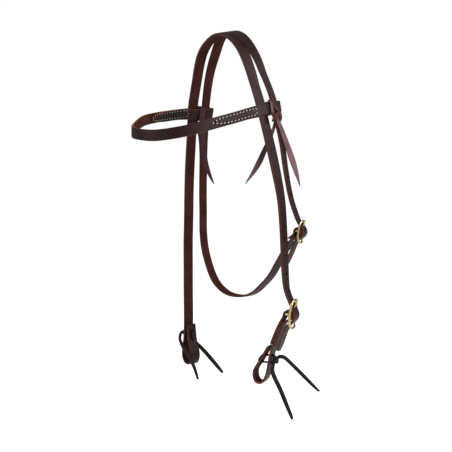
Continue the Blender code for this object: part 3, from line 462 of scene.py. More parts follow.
def rounded_rows(rows, step, closed=False):
    """Smooth run through a few rows of place and width."""
    points = [Vector(row) for row in rows]
    count, made = len(points), []
    for index in range(count if closed else count - 1):
        start, end = points[index], points[(index + 1) % count]
        before = points[index - 1] if closed or index else start * 2 - end
        after = (points[(index + 2) % count] if closed or index + 2 < count
                 else end * 2 - start)
        parts = max(2, math.ceil((end - start).length / step))
        for part in range(parts):
            t = part / parts
            made.append(0.5 * ((2 * start) + (end - before) * t
                               + (2 * before - 5 * start + 4 * end - after) * t ** 2
                               + (3 * start - before - 3 * end + after) * t ** 3))
    if not closed:
        made.append(points[-1])
    return made


def add_lace(shape, rows, thickness, flat=None, way=None, closed=False, step=LACE_STEP):
    """Adds a flat lace through rows of place and width, thin where it is cut to a point."""
    rows = rounded_rows(rows, step, closed)
    path = [row.to_3d() for row in rows]
    radii = [(row[3] / 2, min(thickness, row[3] * LACE_POINT_SHARE) / 2) for row in rows]
    ways = []
    for index in range(len(path)):
        before, after = neighbours(path, index, False)
        ways.append(Vector(way) if way else (after - before).cross(Vector(flat)).normalized())
    add_sweep(shape, path, ways, radii, LACE_SIDES, LACE_POWER, closed)


def add_lump(shape, centre, axes, sizes):
    """Adds a small rounded lump, the hidden heart of a knot."""
    long, wide = Vector(axes[0]).normalized(), Vector(axes[1])
    path, radii = [], []
    for degrees in range(-80, 81, 20):
        angle = math.radians(degrees)
        path.append(Vector(centre) + long * sizes[0] * math.sin(angle))
        radii.append((sizes[1] * math.cos(angle), sizes[2] * math.cos(angle)))
    add_sweep(shape, path, [wide] * len(path), radii, 10)


def detail_piece(name, build, body, material, nodes=()):
    """Makes a finished piece from a drawing function, rounded by subdivision."""
    shape = bmesh.new()
    build(shape)
    bmesh.ops.recalc_face_normals(shape, faces=shape.faces)
    mesh = subdivided(shape, 1, name)
    mesh.materials.append(material)
    store_rim(mesh, np.ones(len(mesh.vertices), dtype=np.float32))
    link_piece(name, mesh, body, nodes)


# Stitching

def stitch_tree():
    """Arched stitches, evenly spaced, along a seam whose points hold their upward direction."""
    bench, source, sink = new_tree(
        "Stitch_Run", "GeometryNodeTree",
        (("Seam", "Geometry", None), ("Pitch", "Float", 0.0056),
         ("Stitch Length", "Float", 0.0036), ("Thread Width", "Float", 0.0012),
         ("Slant", "Float", 0.0003), ("Thread", "Material", None)),
        (("Stitches", "Geometry"),))
    seam = bench.add("GeometryNodeMeshToCurve", Mesh=source["Seam"])
    even = bench.add("GeometryNodeResampleCurve", {"mode": "LENGTH"}, Curve=seam.outputs[0],
                     Length=source["Pitch"])
    upward = bench.add("GeometryNodeInputNamedAttribute", {"data_type": "FLOAT_VECTOR"},
                       Name="seam_up")
    along = bench.add("GeometryNodeInputTangent")
    turn = bench.add("FunctionNodeAxesToRotation", {"primary_axis": "X", "secondary_axis": "Z"},
                     Primary_Axis=along.outputs[0], Secondary_Axis=upward.outputs[0])
    half = bench.math("MULTIPLY", source["Stitch Length"], 0.5)
    back = bench.math("MULTIPLY", half, -1.0)
    lean = bench.math("MULTIPLY", source["Slant"], -1.0)
    dip = bench.math("MULTIPLY", source["Thread Width"], -0.45)
    crest = bench.math("MULTIPLY", source["Thread Width"], 1.15)
    ends = [bench.add("ShaderNodeCombineXYZ", X=x, Y=y, Z=z).outputs[0] for x, y, z in (
        (back, lean, dip), (0.0, 0.0, crest), (half, source["Slant"], dip))]
    arch = bench.add("GeometryNodeCurveQuadraticBezier", Resolution=5, Start=ends[0],
                     Middle=ends[1], End=ends[2])
    ring = bench.add("GeometryNodeCurvePrimitiveCircle", Resolution=6,
                     Radius=bench.math("MULTIPLY", source["Thread Width"], 0.5))
    strand = bench.add("GeometryNodeCurveToMesh", Curve=arch.outputs[0],
                       Profile_Curve=ring.outputs[0], Fill_Caps=True)
    row = bench.add("GeometryNodeInstanceOnPoints", Points=even.outputs[0],
                    Instance=strand.outputs[0], Rotation=turn.outputs[0])
    real = bench.add("GeometryNodeRealizeInstances", Geometry=row.outputs[0])
    dyed = bench.add("GeometryNodeSetMaterial", Geometry=real.outputs[0],
                     Material=source["Thread"])
    bench.feed(sink, "Stitches", dyed.outputs[0])
    return bench.tree


def sew(name, body, seams, finish, settings, fineness):
    """Lays stitches along seams, each a run of place and upward direction, as one mesh."""
    places, ways, edges = [], [], []
    for run, closed in seams:
        first = len(places)
        places += [place for place, _ in run]
        ways += [way for _, way in run]
        edges += [(index, index + 1) for index in range(first, len(places) - 1)]
        if closed:
            edges.append((len(places) - 1, first))
    draft = bpy.data.meshes.new(f"{name}_draft")
    draft.from_pydata(places, edges, [])
    layer = draft.attributes.new("seam_up", "FLOAT_VECTOR", "POINT")
    layer.data.foreach_set("vector", np.array(ways, dtype=np.float32).ravel())
    helper = linked(f"{name}_draft", draft)
    tree = bpy.data.node_groups.get("Stitch_Run") or stitch_tree()
    sewing = helper.modifiers.new("Sewing", "NODES")
    sewing.node_group = tree
    given = {"Pitch": settings.stitch_pitch, "Stitch Length": settings.stitch_length * fineness,
             "Thread Width": settings.thread_width * fineness, "Slant": settings.stitch_slant,
             "Thread": finish}
    for socket in tree.interface.items_tree:
        if socket.in_out == "INPUT" and socket.name in given:
            sewing[socket.identifier] = given[socket.name]
    mesh = plain_mesh(helper, name)
    shape = bmesh.new()
    shape.from_mesh(mesh)
    bmesh.ops.recalc_face_normals(shape, faces=shape.faces)
    shape.to_mesh(mesh)
    shape.free()
    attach(linked(name, mesh), body)


def surface_tree(name):
    """A finished piece's faces, to find places on them."""
    mesh = bpy.data.objects[name].data
    return BVHTree.FromPolygons([vertex.co for vertex in mesh.vertices],
                                [tuple(face.vertices) for face in mesh.polygons])


# A lap's seam: its step and the band's half height along it, and across it the levels that are
# tried, where the search starts outside the band and how far it looks.
SEAM_STEP = 0.0016
BAND_HALF_HEIGHT = 0.008
BAND_SCAN = (-0.096, -0.156, -0.0004)
BAND_CLEAR = 0.2
BAND_REACH = 0.16


def lap_seam(tree, side, outer, outline):
    """Closed seam on one face of a lap, from rows of place along the band and share of its
    half height."""
    start, aim = (side * BAND_CLEAR, -side) if outer else (0.0, side)
    aim = Vector((aim, 0.0, 0.0))
    run = []
    for index, (first, share) in enumerate(outline):
        second, other = outline[(index + 1) % len(outline)]
        span = math.hypot(second - first, (other - share) * BAND_HALF_HEIGHT)
        parts = max(1, math.ceil(span / SEAM_STEP))
        for part in range(parts):
            along = first + (second - first) * part / parts
            height = share + (other - share) * part / parts
            found = [level for level in np.arange(*BAND_SCAN)
                     if tree.ray_cast(Vector((start, along, level)), aim, BAND_REACH)[0] is not None]
            middle, half = (found[0] + found[-1]) / 2, (found[0] - found[-1]) / 2
            spot = tree.ray_cast(Vector((start, along, middle + height * half)), aim)
            run.append(spot[:2])
    return run


# The near-black ribbon of painted shade lies this far above the surface and has this half thickness.
CHANNEL_LIFT = 0.00003
CHANNEL_DEPTH = 0.00012


def add_channel(shape, run, closed, width):
    """Adds a thin near-black ribbon of painted shade, where a seam is pressed in or a slit is closed.
    """
    path = [place + way * CHANNEL_LIFT for place, way in run]
    ways = []
    for index, (_, way) in enumerate(run):
        before, after = neighbours(path, index, closed)
        ways.append((after - before).cross(way).normalized())
    add_sweep(shape, path, ways, [(width / 2, CHANNEL_DEPTH)] * len(run), 6, closed=closed)


# Finishes

def seam_channel():
    """Near-black painted shade for a seam's pressed channel, the crown's closed slit and a punched
    hole's walls.
    """
    return hide_material("Seam_Channel", (0.004, 0.002, 0.002), (0.002, 0.001, 0.001),
                         (0.002, 0.001, 0.001), rim_amount=0.2, roughness=0.7,
                         pore_scale=1400.0, fibre=0.3, bump=0.2, gloss=0.05)


def edge_finish(name, colour, mottle_share, rim_colour, fibre):
    """A cut edge, where the open fibres show lighter than the grain."""
    return hide_material(name, colour, darker(colour, mottle_share), rim_colour, rim_amount=0.2,
                         roughness=0.55, pore_scale=1900.0, fibre=fibre, bump=0.3, gloss=0.15)


def strap_materials(settings):
    """Finishes of a strap, in the order grain, flesh, cut edge and hole wall, whose near-black is
    painted shade.
    """
    grain = hide_material("Strap_Grain", settings.grain, settings.grain_mottle,
                          (0.009, 0.003, 0.003), rim_amount=0.55, roughness=0.42,
                          pore_scale=850.0, fibre=0.15, bump=0.22, gloss=0.20,
                          gloss_tint=(1.0, 0.78, 0.86))
    flesh = hide_material("Strap_Flesh", settings.flesh, settings.flesh_mottle,
                          (0.012, 0.004, 0.003), rim_amount=0.4, roughness=0.68,
                          pore_scale=1500.0, fibre=0.5, bump=0.4, gloss=0.1,
                          gloss_tint=(1.0, 0.75, 0.65))
    edge = edge_finish("Strap_Edge", settings.cut_edge, 0.5, (0.05, 0.02, 0.012), 0.6)
    return [grain, flesh, edge, seam_channel()]


def band_materials(settings):
    """The browband's finishes: its cut edges are lighter than those of the other straps."""
    finishes = strap_materials(settings)
    finishes[EDGE] = edge_finish("Band_Edge", settings.band_edge, 0.55, (0.16, 0.05, 0.02), 0.5)
    return finishes


def lace_finish(name, colour, rim_colour, rim_amount, roughness, pore_scale, gloss):
    """Soft cut lace."""
    return hide_material(name, colour, darker(colour, 0.6), rim_colour, rim_amount, roughness,
                         pore_scale, fibre=0.3, bump=0.3, gloss=gloss)


# Settings

def length_setting(name, description, default, least, most):
    return FloatProperty(name=name, description=description, default=default, min=least,
                         max=most, unit="LENGTH")


def colour_setting(name, description, default):
    return FloatVectorProperty(name=name, description=description, default=default,
                               subtype="COLOR")


def place_setting(name, description, default):
    return FloatVectorProperty(name=name, description=description, default=default,
                               subtype="XYZ", unit="LENGTH")


def light_setting(name, description, default, most=500.0):
    return FloatProperty(name=name, description=description, default=default, min=0.0, max=most)


class HEADSTALL_PG_leather(bpy.types.PropertyGroup):
    edge_round: length_setting("Edge rounding", "Radius of the burnished edges", 0.0006, 0.0001, 0.0015)
    edge_grow: length_setting("Edge fullness", "How far the edges stand out", 0.0007, 0.0, 0.0015)
    slit_open: length_setting("Slit opening", "How far the near slit's sides draw apart near "
                              "the crown", 0.0016, 0.0, 0.003)
    cheek_grow: length_setting("Near cheek fullness", "Extra width halfway down", 0.0009, 0.0, 0.003)
    smooth_levels: IntProperty(name="Smoothness", description="Subdivisions of each strap",
                               default=2, min=1, max=3)
    rim_reach: length_setting("Rim width", "Width of the darker rim", 0.0028, 0.0005, 0.008)
    grain: colour_setting("Grain colour", "Smooth outer side", (0.0215, 0.0078, 0.0080))
    grain_mottle: colour_setting("Grain mottle", "Darker patches of dye", (0.0130, 0.0043, 0.0044))
    flesh: colour_setting("Flesh colour", "Rough inner side", (0.060, 0.0175, 0.0125))
    flesh_mottle: colour_setting("Flesh mottle", "Fibre shadows", (0.032, 0.0090, 0.0066))
    cut_edge: colour_setting("Edge colour", "Cut edges of the straps", (0.145, 0.046, 0.026))
    band_edge: colour_setting("Browband edge colour", "Lighter cut edges of the browband",
                              (0.30, 0.088, 0.026))


class HEADSTALL_PG_trim(bpy.types.PropertyGroup):
    lace: colour_setting("Lace colour", "Bit end laces", (0.019, 0.0135, 0.0120))
    # The near tie's pale purple-grey is partly the leather's own colour and partly painted sheen.
    tie: colour_setting("Tie colour", "Soft leather of the near browband tie", (0.165, 0.088, 0.100))
    tie_knot: colour_setting("Tie knot colour", "Darkened turns of a knot", (0.078, 0.019, 0.017))
    # The far tie's darker colour is painted shade on the same soft leather as the near tie.
    far_tie: colour_setting("Far tie colour", "The darker far tie", (0.046, 0.015, 0.018))
    brass: colour_setting("Brass colour", "Buckles and tongues", (0.68, 0.55, 0.28))
    thread: colour_setting("Thread colour", "Stitching", (0.62, 0.60, 0.56))
    lace_thickness: length_setting("Lace thickness", "Bit end laces", 0.0026, 0.001, 0.004)
    lace_turn: length_setting("Lace turn width", "Width of the knots' turns", 0.0038, 0.002, 0.006)
    tie_thickness: length_setting("Tie thickness", "Browband ties", 0.0019, 0.001, 0.003)
    stitch_pitch: length_setting("Stitch pitch", "Distance between stitches", 0.0056, 0.002, 0.009)
    stitch_length: length_setting("Stitch length", "Length of one stitch", 0.0037, 0.001, 0.008)
    stitch_slant: length_setting("Stitch slant", "How far each end leans aside", 0.0004, 0.0, 0.002)
    thread_width: length_setting("Thread width", "Thickness of the thread", 0.0012, 0.0004, 0.002)
    # The dark channel is a ribbon of painted shade.
    channel_width: length_setting("Channel width", "Width of the dark channel", 0.0028, 0.001, 0.005)


class HEADSTALL_PG_stage(bpy.types.PropertyGroup):
    camera_place: place_setting("Camera place", "Where the camera stands", (0.9519, -0.7419, -0.2027))
    camera_target: place_setting("Camera target", "What it looks at", (0.0244, -0.0172, -0.2854))
    lens: FloatProperty(name="Lens", description="Focal length in millimetres on a 36 mm frame",
                        default=63.4, min=20.0, max=200.0)
    floor_reach: length_setting("Floor reach", "Radius of the round floor", 60.0, 2.0, 200.0)
    floor_drop: length_setting("Floor drop", "How far the floor lies below", 0.30, 0.0, 2.0)
    floor_glow: light_setting("Floor glow", "Light of the white sweep itself", 0.9, 2.0)
    floor_bounce: light_setting("Floor bounce", "Light the sweep throws back", 0.20, 2.0)
    room_light: light_setting("Room light", "Strength of the even white light", 0.20, 3.0)
    key_power: light_setting("Key light", "Power of the main light in watts", 25.0)
    sheen_power: light_setting("Sheen light", "Power of the light that the near cheek mirrors, "
                               "in watts", 11.0)
    fill_power: light_setting("Fill light", "Power of the fill light in watts", 13.0)
    top_power: light_setting("Top light", "Power of the top light in watts", 7.0)


# Pieces

# Where the near slit's sides draw apart, and where the near cheek is fuller halfway down.
SLIT_FOOT, SLIT_INNER, SLIT_FADE = -0.10, 0.04, 0.03
SLIT_FRONT, SLIT_REAR = 0.005, 0.0195
CHEEK_FOOT, CHEEK_TOP, CHEEK_INNER, CHEEK_FADE = -0.37, -0.13, 0.07, 0.04
CHEEK_REAR, CHEEK_REAR_SLOPE, CHEEK_REAR_LEVEL = 0.0170, 0.0525, -0.14

# The closed part of the near slit, over the crown, drawn as a dark ribbon that paints the shade in the
# cut.
CROWN_SLIT_SHADE_WIDTH = 0.0024
CROWN_CUT_STEP = 0.0012
ABOVE_CROWN = 0.05
CROWN_CUT_LINE = metres((
    (530, 66), (524, 36), (511, 8), (487, -10), (460, -26), (421, -38), (372, -51), (318, -64),
    (249, -74), (193, -85)))


class HEADSTALL_OT_crown_straps(bpy.types.Operator):
    """Dress the slit crown with its billets, the far cheek strap and the throatlatch"""
    bl_idname = "headstall.crown_straps"
    bl_label = "Crown, far cheek and throatlatch"

    def execute(self, context):
        settings = context.scene.headstall_leather

        def cut_edge_growth(place):
            if place.z > SLIT_FOOT and place.x > SLIT_INNER and SLIT_FRONT < place.y < SLIT_REAR:
                share = min(1.0, (place.z - SLIT_FOOT) / SLIT_FADE)
                return settings.edge_grow - settings.slit_open * share
            rear = CHEEK_REAR - CHEEK_REAR_SLOPE * (place.z - CHEEK_REAR_LEVEL)
            share = min(1.0, (CHEEK_TOP - place.z) / CHEEK_FADE,
                        (place.z - CHEEK_FOOT) / CHEEK_FADE)
            if place.x > CHEEK_INNER and place.y < rear and share > 0.0:
                return settings.edge_grow + settings.cheek_grow * share
            return settings.edge_grow

        for node in ("crown_strap", "far_cheek_strap", "throatlatch"):
            dress_strap(node, "headstall", strap_materials(settings), settings, cut_edge_growth)
        # A near-black ribbon along the closed slit paints the shade in it.
        crown = surface_tree("crown_strap_leather")
        line = rounded_rows(CROWN_CUT_LINE, CROWN_CUT_STEP)
        spots = [crown.ray_cast(Vector((*place, ABOVE_CROWN)), Vector((0.0, 0.0, -1.0)))
                 for place in line]
        run = [spot[:2] for spot in spots if spot[0]]
        detail_piece("crown_cut_line",
                     lambda shape: add_channel(shape, run, False, CROWN_SLIT_SHADE_WIDTH),
                     "headstall", seam_channel())
        return {"FINISHED"}


class HEADSTALL_OT_bit_strap(bpy.types.Operator):
    """Dress the near bit strap that hangs from the cheek buckle"""
    bl_idname = "headstall.bit_strap"
    bl_label = "Near bit strap"

    def execute(self, context):
        settings = context.scene.headstall_leather
        dress_strap("near_bit_strap", "bit_strap", strap_materials(settings), settings,
                    lambda place: settings.edge_grow)
        return {"FINISHED"}


class HEADSTALL_OT_browband(bpy.types.Operator):
    """Dress the browband with its two folded and stitched loops"""
    bl_idname = "headstall.browband"
    bl_label = "Browband"

    def execute(self, context):
        settings = context.scene.headstall_leather
        dress_strap("browband", "browband", band_materials(settings), settings)
        return {"FINISHED"}


# Places and widths along each lace. A bridge or loop goes round its strap and is closed.
NEAR_BIT_BRIDGE = metres((
    (1076, 76, -4700, 44), (1060, 68, -4686, 48), (1027, 52, -4686, 52), (930, 5, -4686, 52),
    (906, -7, -4687, 48), (886, -17, -4700, 46), (848, -35, -4764, 46), (852, -34, -4787, 48),
    (880, -20, -4793, 52), (1011, 44, -4791, 52), (1050, 63, -4791, 48), (1076, 76, -4777, 44)))
NEAR_BIT_TAILS = metres((
    ((1076, 74, -4742, 44), (1106, 90, -4712, 48), (1140, 99, -4691, 58), (1190, 127, -4689, 60),
     (1240, 153, -4721, 61), (1290, 177, -4765, 61), (1335, 205, -4811, 61),
     (1385, 229, -4857, 61), (1475, 284, -4951, 59), (1565, 339, -5046, 52),
     (1655, 397, -5136, 31)),
    ((1080, 63, -4760, 44), (1086, 28, -4818, 51), (1092, 11, -4882, 60), (1100, 20, -4947, 72),
     (1115, 49, -5024, 72), (1140, 93, -5126, 72), (1185, 136, -5271, 71), (1250, 163, -5420, 66),
     (1295, 186, -5529, 56), (1314, 196, -5586, 36))))
FAR_BIT_BRIDGE = metres((
    (-1269, 160, -4715, 44), (-1245, 160, -4693, 48), (-1204, 160, -4693, 52),
    (-1112, 160, -4693, 52), (-1088, 160, -4695, 50), (-1074, 160, -4713, 48),
    (-1056, 160, -4794, 48), (-1062, 160, -4811, 50), (-1082, 160, -4815, 52),
    (-1210, 160, -4813, 52), (-1251, 160, -4813, 48), (-1269, 160, -4792, 44)))
FAR_BIT_TAILS = metres((
    ((-1269, 160, -4748, 46), (-1290, 138, -4728, 53), (-1310, 110, -4731, 62),
     (-1322, 81, -4773, 70), (-1312, 68, -4853, 81), (-1230, 55, -4935, 84),
     (-1100, 32, -5005, 87), (-1010, 33, -5080, 90), (-940, 43, -5160, 90), (-880, 50, -5240, 84),
     (-830, 56, -5338, 70), (-800, 68, -5430, 41)),
    ((-1269, 160, -4773, 44), (-1282, 223, -4826, 55), (-1268, 262, -4861, 67),
     (-1215, 280, -4883, 75), (-1130, 278, -4913, 78), (-1020, 284, -4963, 83),
     (-880, 284, -5027, 87), (-740, 282, -5097, 90), (-590, 288, -5182, 84),
     (-490, 289, -5239, 66), (-430, 293, -5272, 42))))
NEAR_BIT_SIDE = (-0.4384, 0.8988, 0.0)
FAR_BIT_SIDE = (0.0, 1.0, 0.0)
BIT_TIES = (("near_bit_tie", "bit_strap", NEAR_BIT_SIDE, NEAR_BIT_BRIDGE, NEAR_BIT_TAILS),
            ("far_bit_tie", "headstall", FAR_BIT_SIDE, FAR_BIT_BRIDGE, FAR_BIT_TAILS))

# A bit end knot: its hidden heart, the places of a turn across and out, the heights of its two
# turns' ends, and the share of a height that is left beside the heart.
BIT_KNOT_SIZES = (0.0062, 0.0046, 0.0034)
BIT_KNOT_SINK = 0.0006
BIT_KNOT_TURN = ((-0.0052, -0.0012), (-0.0026, 0.0030), (0.0026, 0.0032), (0.0054, -0.0010))
BIT_KNOT_HEIGHTS = ((0.0058, -0.0034), (-0.0006, -0.0062))
BIT_KNOT_SHARE = 0.6

NEAR_TIE_LOOP = metres((
    (907, 128, -1072, 52), (920, 126, -1120, 54), (933, 125, -1172, 54), (939, 127, -1215, 52),
    (920, 135, -1228, 52), (872, 138, -1237, 52), (820, 136, -1243, 52), (782, 132, -1236, 52),
    (766, 130, -1207, 52), (755, 130, -1150, 52), (748, 130, -1103, 52), (762, 132, -1068, 52),
    (800, 134, -1061, 52), (842, 134, -1054, 52), (888, 131, -1048, 52)))
NEAR_TIE_CROSSING = metres((
    (840, 136, -1026, 50), (885, 142, -1033, 52), (908, 152, -1062, 54), (930, 187, -1129, 60),
    (942, 228, -1180, 60), (950, 246, -1228, 56), (948, 238, -1262, 50)))
NEAR_TIE_KNOT = metres((
    ((940, 118, -1204, 56), (952, 130, -1249, 60), (958, 159, -1288, 60), (948, 206, -1319, 56)),
    ((945, 260, -1189, 56), (972, 211, -1224, 62), (982, 157, -1263, 64), (970, 126, -1304, 62),
     (938, 133, -1333, 56)),
    ((940, 243, -1184, 50), (958, 254, -1227, 56), (962, 258, -1277, 58), (945, 259, -1326, 54))))
NEAR_TIE_LEAVES = metres((
    ((945, 197, -1265, 52), (948, 221, -1327, 62), (956, 257, -1397, 74), (978, 299, -1518, 90),
     (1000, 370, -1703, 106), (1012, 444, -1882, 116), (1026, 511, -2062, 82),
     (1036, 557, -2200, 36), (1040, 575, -2270, 10)),
    ((890, 231, -1281, 50), (868, 235, -1337, 54), (856, 227, -1408, 58), (846, 202, -1487, 64),
     (830, 165, -1581, 74), (812, 124, -1682, 84), (797, 80, -1779, 94), (785, 30, -1883, 102),
     (772, -39, -1997, 88), (757, -127, -2117, 50), (742, -216, -2223, 10))))
FAR_TIE_LOOP = metres((
    (-735, 132, -1065, 104), (-742, 128, -1100, 106), (-755, 124, -1150, 106),
    (-762, 122, -1190, 104), (-777, 124, -1228, 96), (-830, 128, -1234, 80),
    (-890, 130, -1212, 70), (-922, 130, -1172, 70), (-912, 130, -1110, 72),
    (-898, 130, -1042, 78), (-870, 130, -1016, 86), (-810, 131, -1020, 96),
    (-760, 132, -1036, 102)))
FAR_TIE_KNOT = metres((
    ((-930, 92, -1135, 50), (-950, 112, -1172, 56), (-958, 146, -1212, 58),
     (-940, 178, -1250, 54)),
    ((-930, 178, -1140, 50), (-962, 152, -1176, 58), (-968, 118, -1212, 58),
     (-940, 96, -1248, 54))))
FAR_TIE_LEAVES = metres((
    ((-738, 116, -1116, 108), (-747, 121, -1202, 114), (-752, 124, -1296, 118),
     (-752, 124, -1407, 116), (-750, 126, -1518, 114), (-747, 137, -1660, 114),
     (-744, 160, -1803, 114), (-740, 191, -1938, 104), (-734, 242, -2066, 76),
     (-726, 300, -2186, 40), (-720, 340, -2257, 12)),
    ((-945, 140, -1215, 52), (-955, 185, -1300, 62), (-985, 262, -1500, 86),
     (-1010, 305, -1700, 104), (-1040, 335, -1900, 106), (-1070, 355, -2100, 62),
     (-1085, 362, -2220, 12))))

# A browband tie's knot: the axes, sizes and places of its hidden hearts, how thick its turns are
# beside the lace, and how closely they are drawn.
TIE_KNOT_AXES = ((0.0, 0.25, -1.0), (0.0, 1.0, 0.25))
TIE_KNOT_SIZES = (0.0064, 0.0056, 0.0022)
NEAR_TIE_HEART = (0.0925, 0.0190, -0.1262)
FAR_TIE_HEART = (-0.0925, 0.0135, -0.1195)
TIE_TURN_THICKNESS_SHARE = 1.15
TIE_TURN_STEP = 0.0012

# Seams on the laps' two faces, as places along the band and shares of its half height, and the
# seam of the throatlatch's fold with the way out of the leather there.
NEAR_LAP_SEAM = ((-0.0822, 0.12), (-0.0775, 0.38), (-0.0720, 0.55), (-0.0640, 0.58),
                 (-0.0180, 0.60), (-0.0152, 0.40), (-0.0148, 0.0), (-0.0160, -0.38),
                 (-0.0200, -0.46), (-0.0640, -0.46), (-0.0700, -0.38), (-0.0760, -0.18))
FAR_LAP_SEAM = ((-0.0825, -0.05), (-0.0800, 0.25), (-0.0750, 0.48), (-0.0680, 0.55),
                (-0.0190, 0.58), (-0.0150, 0.52), (-0.0135, 0.30), (-0.0135, -0.30),
                (-0.0160, -0.55), (-0.0200, -0.60), (-0.0720, -0.60), (-0.0790, -0.45))
THROAT_FOLD_SEAM = ((0.1015, 0.0476, -0.3088), (0.0972, 0.0474, -0.3144),
                    (0.0915, 0.0472, -0.3212))
THROAT_FOLD_OUT = (0.76, 0.16, -0.63)
THROAT_FOLD_CLEAR = 0.004
THROAT_FOLD_STEP = 0.0015


class HEADSTALL_OT_bit_ties(bpy.types.Operator):
    """Tie the laces that close the two bit loops, each knotted outside with two cut tails"""
    bl_idname = "headstall.bit_ties"
    bl_label = "Bit end laces"

    def execute(self, context):
        settings = context.scene.headstall_trim
        thick = settings.lace_thickness
        finish = lace_finish("Lace", settings.lace, (0.03, 0.016, 0.012), rim_amount=0.3,
                             roughness=0.6, pore_scale=1300.0, gloss=0.15)
        for node, body, side, bridge, tails in BIT_TIES:
            def lace(shape):
                add_lace(shape, bridge, thick, way=side, closed=True, step=LACE_LOOP_STEP)
                for tail in tails:
                    add_lace(shape, tail, thick, flat=side)
                heart = (Vector(bridge[0][:3]) + Vector(bridge[-1][:3])) / 2
                out = (heart - Vector(bridge[4][:3])).normalized()
                out.z = 0.0
                add_lump(shape, heart - out * BIT_KNOT_SINK, ((0.0, 0.0, 1.0), side),
                         BIT_KNOT_SIZES)
                for lift, drop in BIT_KNOT_HEIGHTS:
                    heights = (lift, lift * BIT_KNOT_SHARE, drop * BIT_KNOT_SHARE, drop)
                    turn = [heart + Vector(side) * across + out * rise + Vector((0, 0, height))
                            for (across, rise), height in zip(BIT_KNOT_TURN, heights)]
                    add_lace(shape, [(*place, settings.lace_turn) for place in turn], thick,
                             flat=out)
            detail_piece(f"{node}_lace", lace, body, finish, (node,))
        return {"FINISHED"}


class HEADSTALL_OT_browband_ties(bpy.types.Operator):
    """Tie the soft laces round the browband's loops, with their knots and leaf-shaped tails"""
    bl_idname = "headstall.browband_ties"
    bl_label = "Browband ties"

    def execute(self, context):
        settings = context.scene.headstall_trim
        outward = (1.0, 0.0, 0.0)
        thick = settings.tie_thickness
        dark = lace_finish("Tie_Knot_Leather", settings.tie_knot, (0.03, 0.01, 0.009),
                           rim_amount=0.3, roughness=0.6, pore_scale=1100.0, gloss=0.2)
        # The far tie's finish is darker as painted shade.
        for node, colour, loop, crossing, knot, leaves, heart in (
                ("near_browband_tie", settings.tie, NEAR_TIE_LOOP, NEAR_TIE_CROSSING,
                 NEAR_TIE_KNOT, NEAR_TIE_LEAVES, NEAR_TIE_HEART),
                ("far_browband_tie", settings.far_tie, FAR_TIE_LOOP, None, FAR_TIE_KNOT,
                 FAR_TIE_LEAVES, FAR_TIE_HEART)):
            finish = lace_finish(f"{node}_leather", colour, (0.06, 0.02, 0.018), rim_amount=0.4,
                                 roughness=0.66, pore_scale=1100.0, gloss=0.2)

            def tie(shape):
                add_lace(shape, loop, thick, way=(0.0, 1.0, 0.0), closed=True, step=LACE_LOOP_STEP)
                for leaf in leaves:
                    add_lace(shape, leaf, thick, flat=outward)

            def knot_turns(shape):
                if crossing:
                    add_lace(shape, crossing, thick, way=(0.0, 0.9, 0.4), step=LACE_LOOP_STEP)
                for turn in knot:
                    add_lace(shape, turn, thick * TIE_TURN_THICKNESS_SHARE, flat=outward,
                             step=TIE_TURN_STEP)
                add_lump(shape, heart, TIE_KNOT_AXES, TIE_KNOT_SIZES)
            detail_piece(f"{node}_lace", tie, "browband", finish, (node,))
            detail_piece(f"{node}_knot", knot_turns, "browband", dark)
        return {"FINISHED"}


class HEADSTALL_OT_stitching(bpy.types.Operator):
    """Sew the browband's laps and the throatlatch's fold with light thread"""
    bl_idname = "headstall.stitching"
    bl_label = "Stitching"

    def execute(self, context):
        settings = context.scene.headstall_trim
        thread = thread_material("Thread", settings.thread)
        # The far lap's thread is the same thread at half brightness, as painted shade.
        dull_and_shade = thread_material("Dull_Thread", darker(settings.thread, 0.5))
        band = surface_tree("browband_leather")
        near, far = ([(lap_seam(band, side, outer, outline), True) for outer in (True, False)]
                     for side, outline in ((1, NEAR_LAP_SEAM), (-1, FAR_LAP_SEAM)))
        latch = surface_tree("throatlatch_leather")
        out = Vector(THROAT_FOLD_OUT).normalized()
        fold = [latch.ray_cast(row + out * THROAT_FOLD_CLEAR, -out)[:2]
                for row in rounded_rows(THROAT_FOLD_SEAM, THROAT_FOLD_STEP)]
        for name, body, runs, finish, fineness in (
                ("near_lap", "browband", near, thread, 0.88),
                ("far_lap", "browband", far, dull_and_shade, 0.8),
                ("throat_fold", "headstall", [(fold, False)], thread, 1.0)):
            sew(f"{name}_stitches", body, runs, finish, settings, fineness)

            # Near-black ribbons along the seams paint the shade in their pressed channels.
            def channels(shape):
                for run, closed in runs:
                    add_channel(shape, run, closed, settings.channel_width)
            detail_piece(f"{name}_channels", channels, body, seam_channel())
        return {"FINISHED"}


# Each buckle's place at the middle of its bar, the radii of its ring's wire and its bar, the ring's
# half width and half height, how far the ring's middle lies under the bar, and how far it stands
# out: evenly, bowed and tilted.
BUCKLE_SIDE = (-0.43837, 0.89879, 0.0)
BUCKLE_OUT = (0.89879, 0.43837, 0.0)
BUCKLES = {
    "cheek_buckle_frame": dict(
        place=(0.1271, 0.0171, -0.4049), wire=0.0019, bar=0.0016, half=0.01185, rise=0.0202,
        drop=0.0010, stand=(0.0044, 0.0020, 0.0016)),
    "throat_buckle_frame": dict(
        place=(0.1166, 0.0440, -0.2893), wire=0.0016, bar=0.0014, half=0.00945, rise=0.0158,
        drop=0.0019, stand=(0.0022, 0.0021, 0.0017))}
BUCKLE_PLACES = 44
BUCKLE_POWER = 3.2
POST_SHARES = (0.0, 0.08, 0.5, 0.92, 1.0)


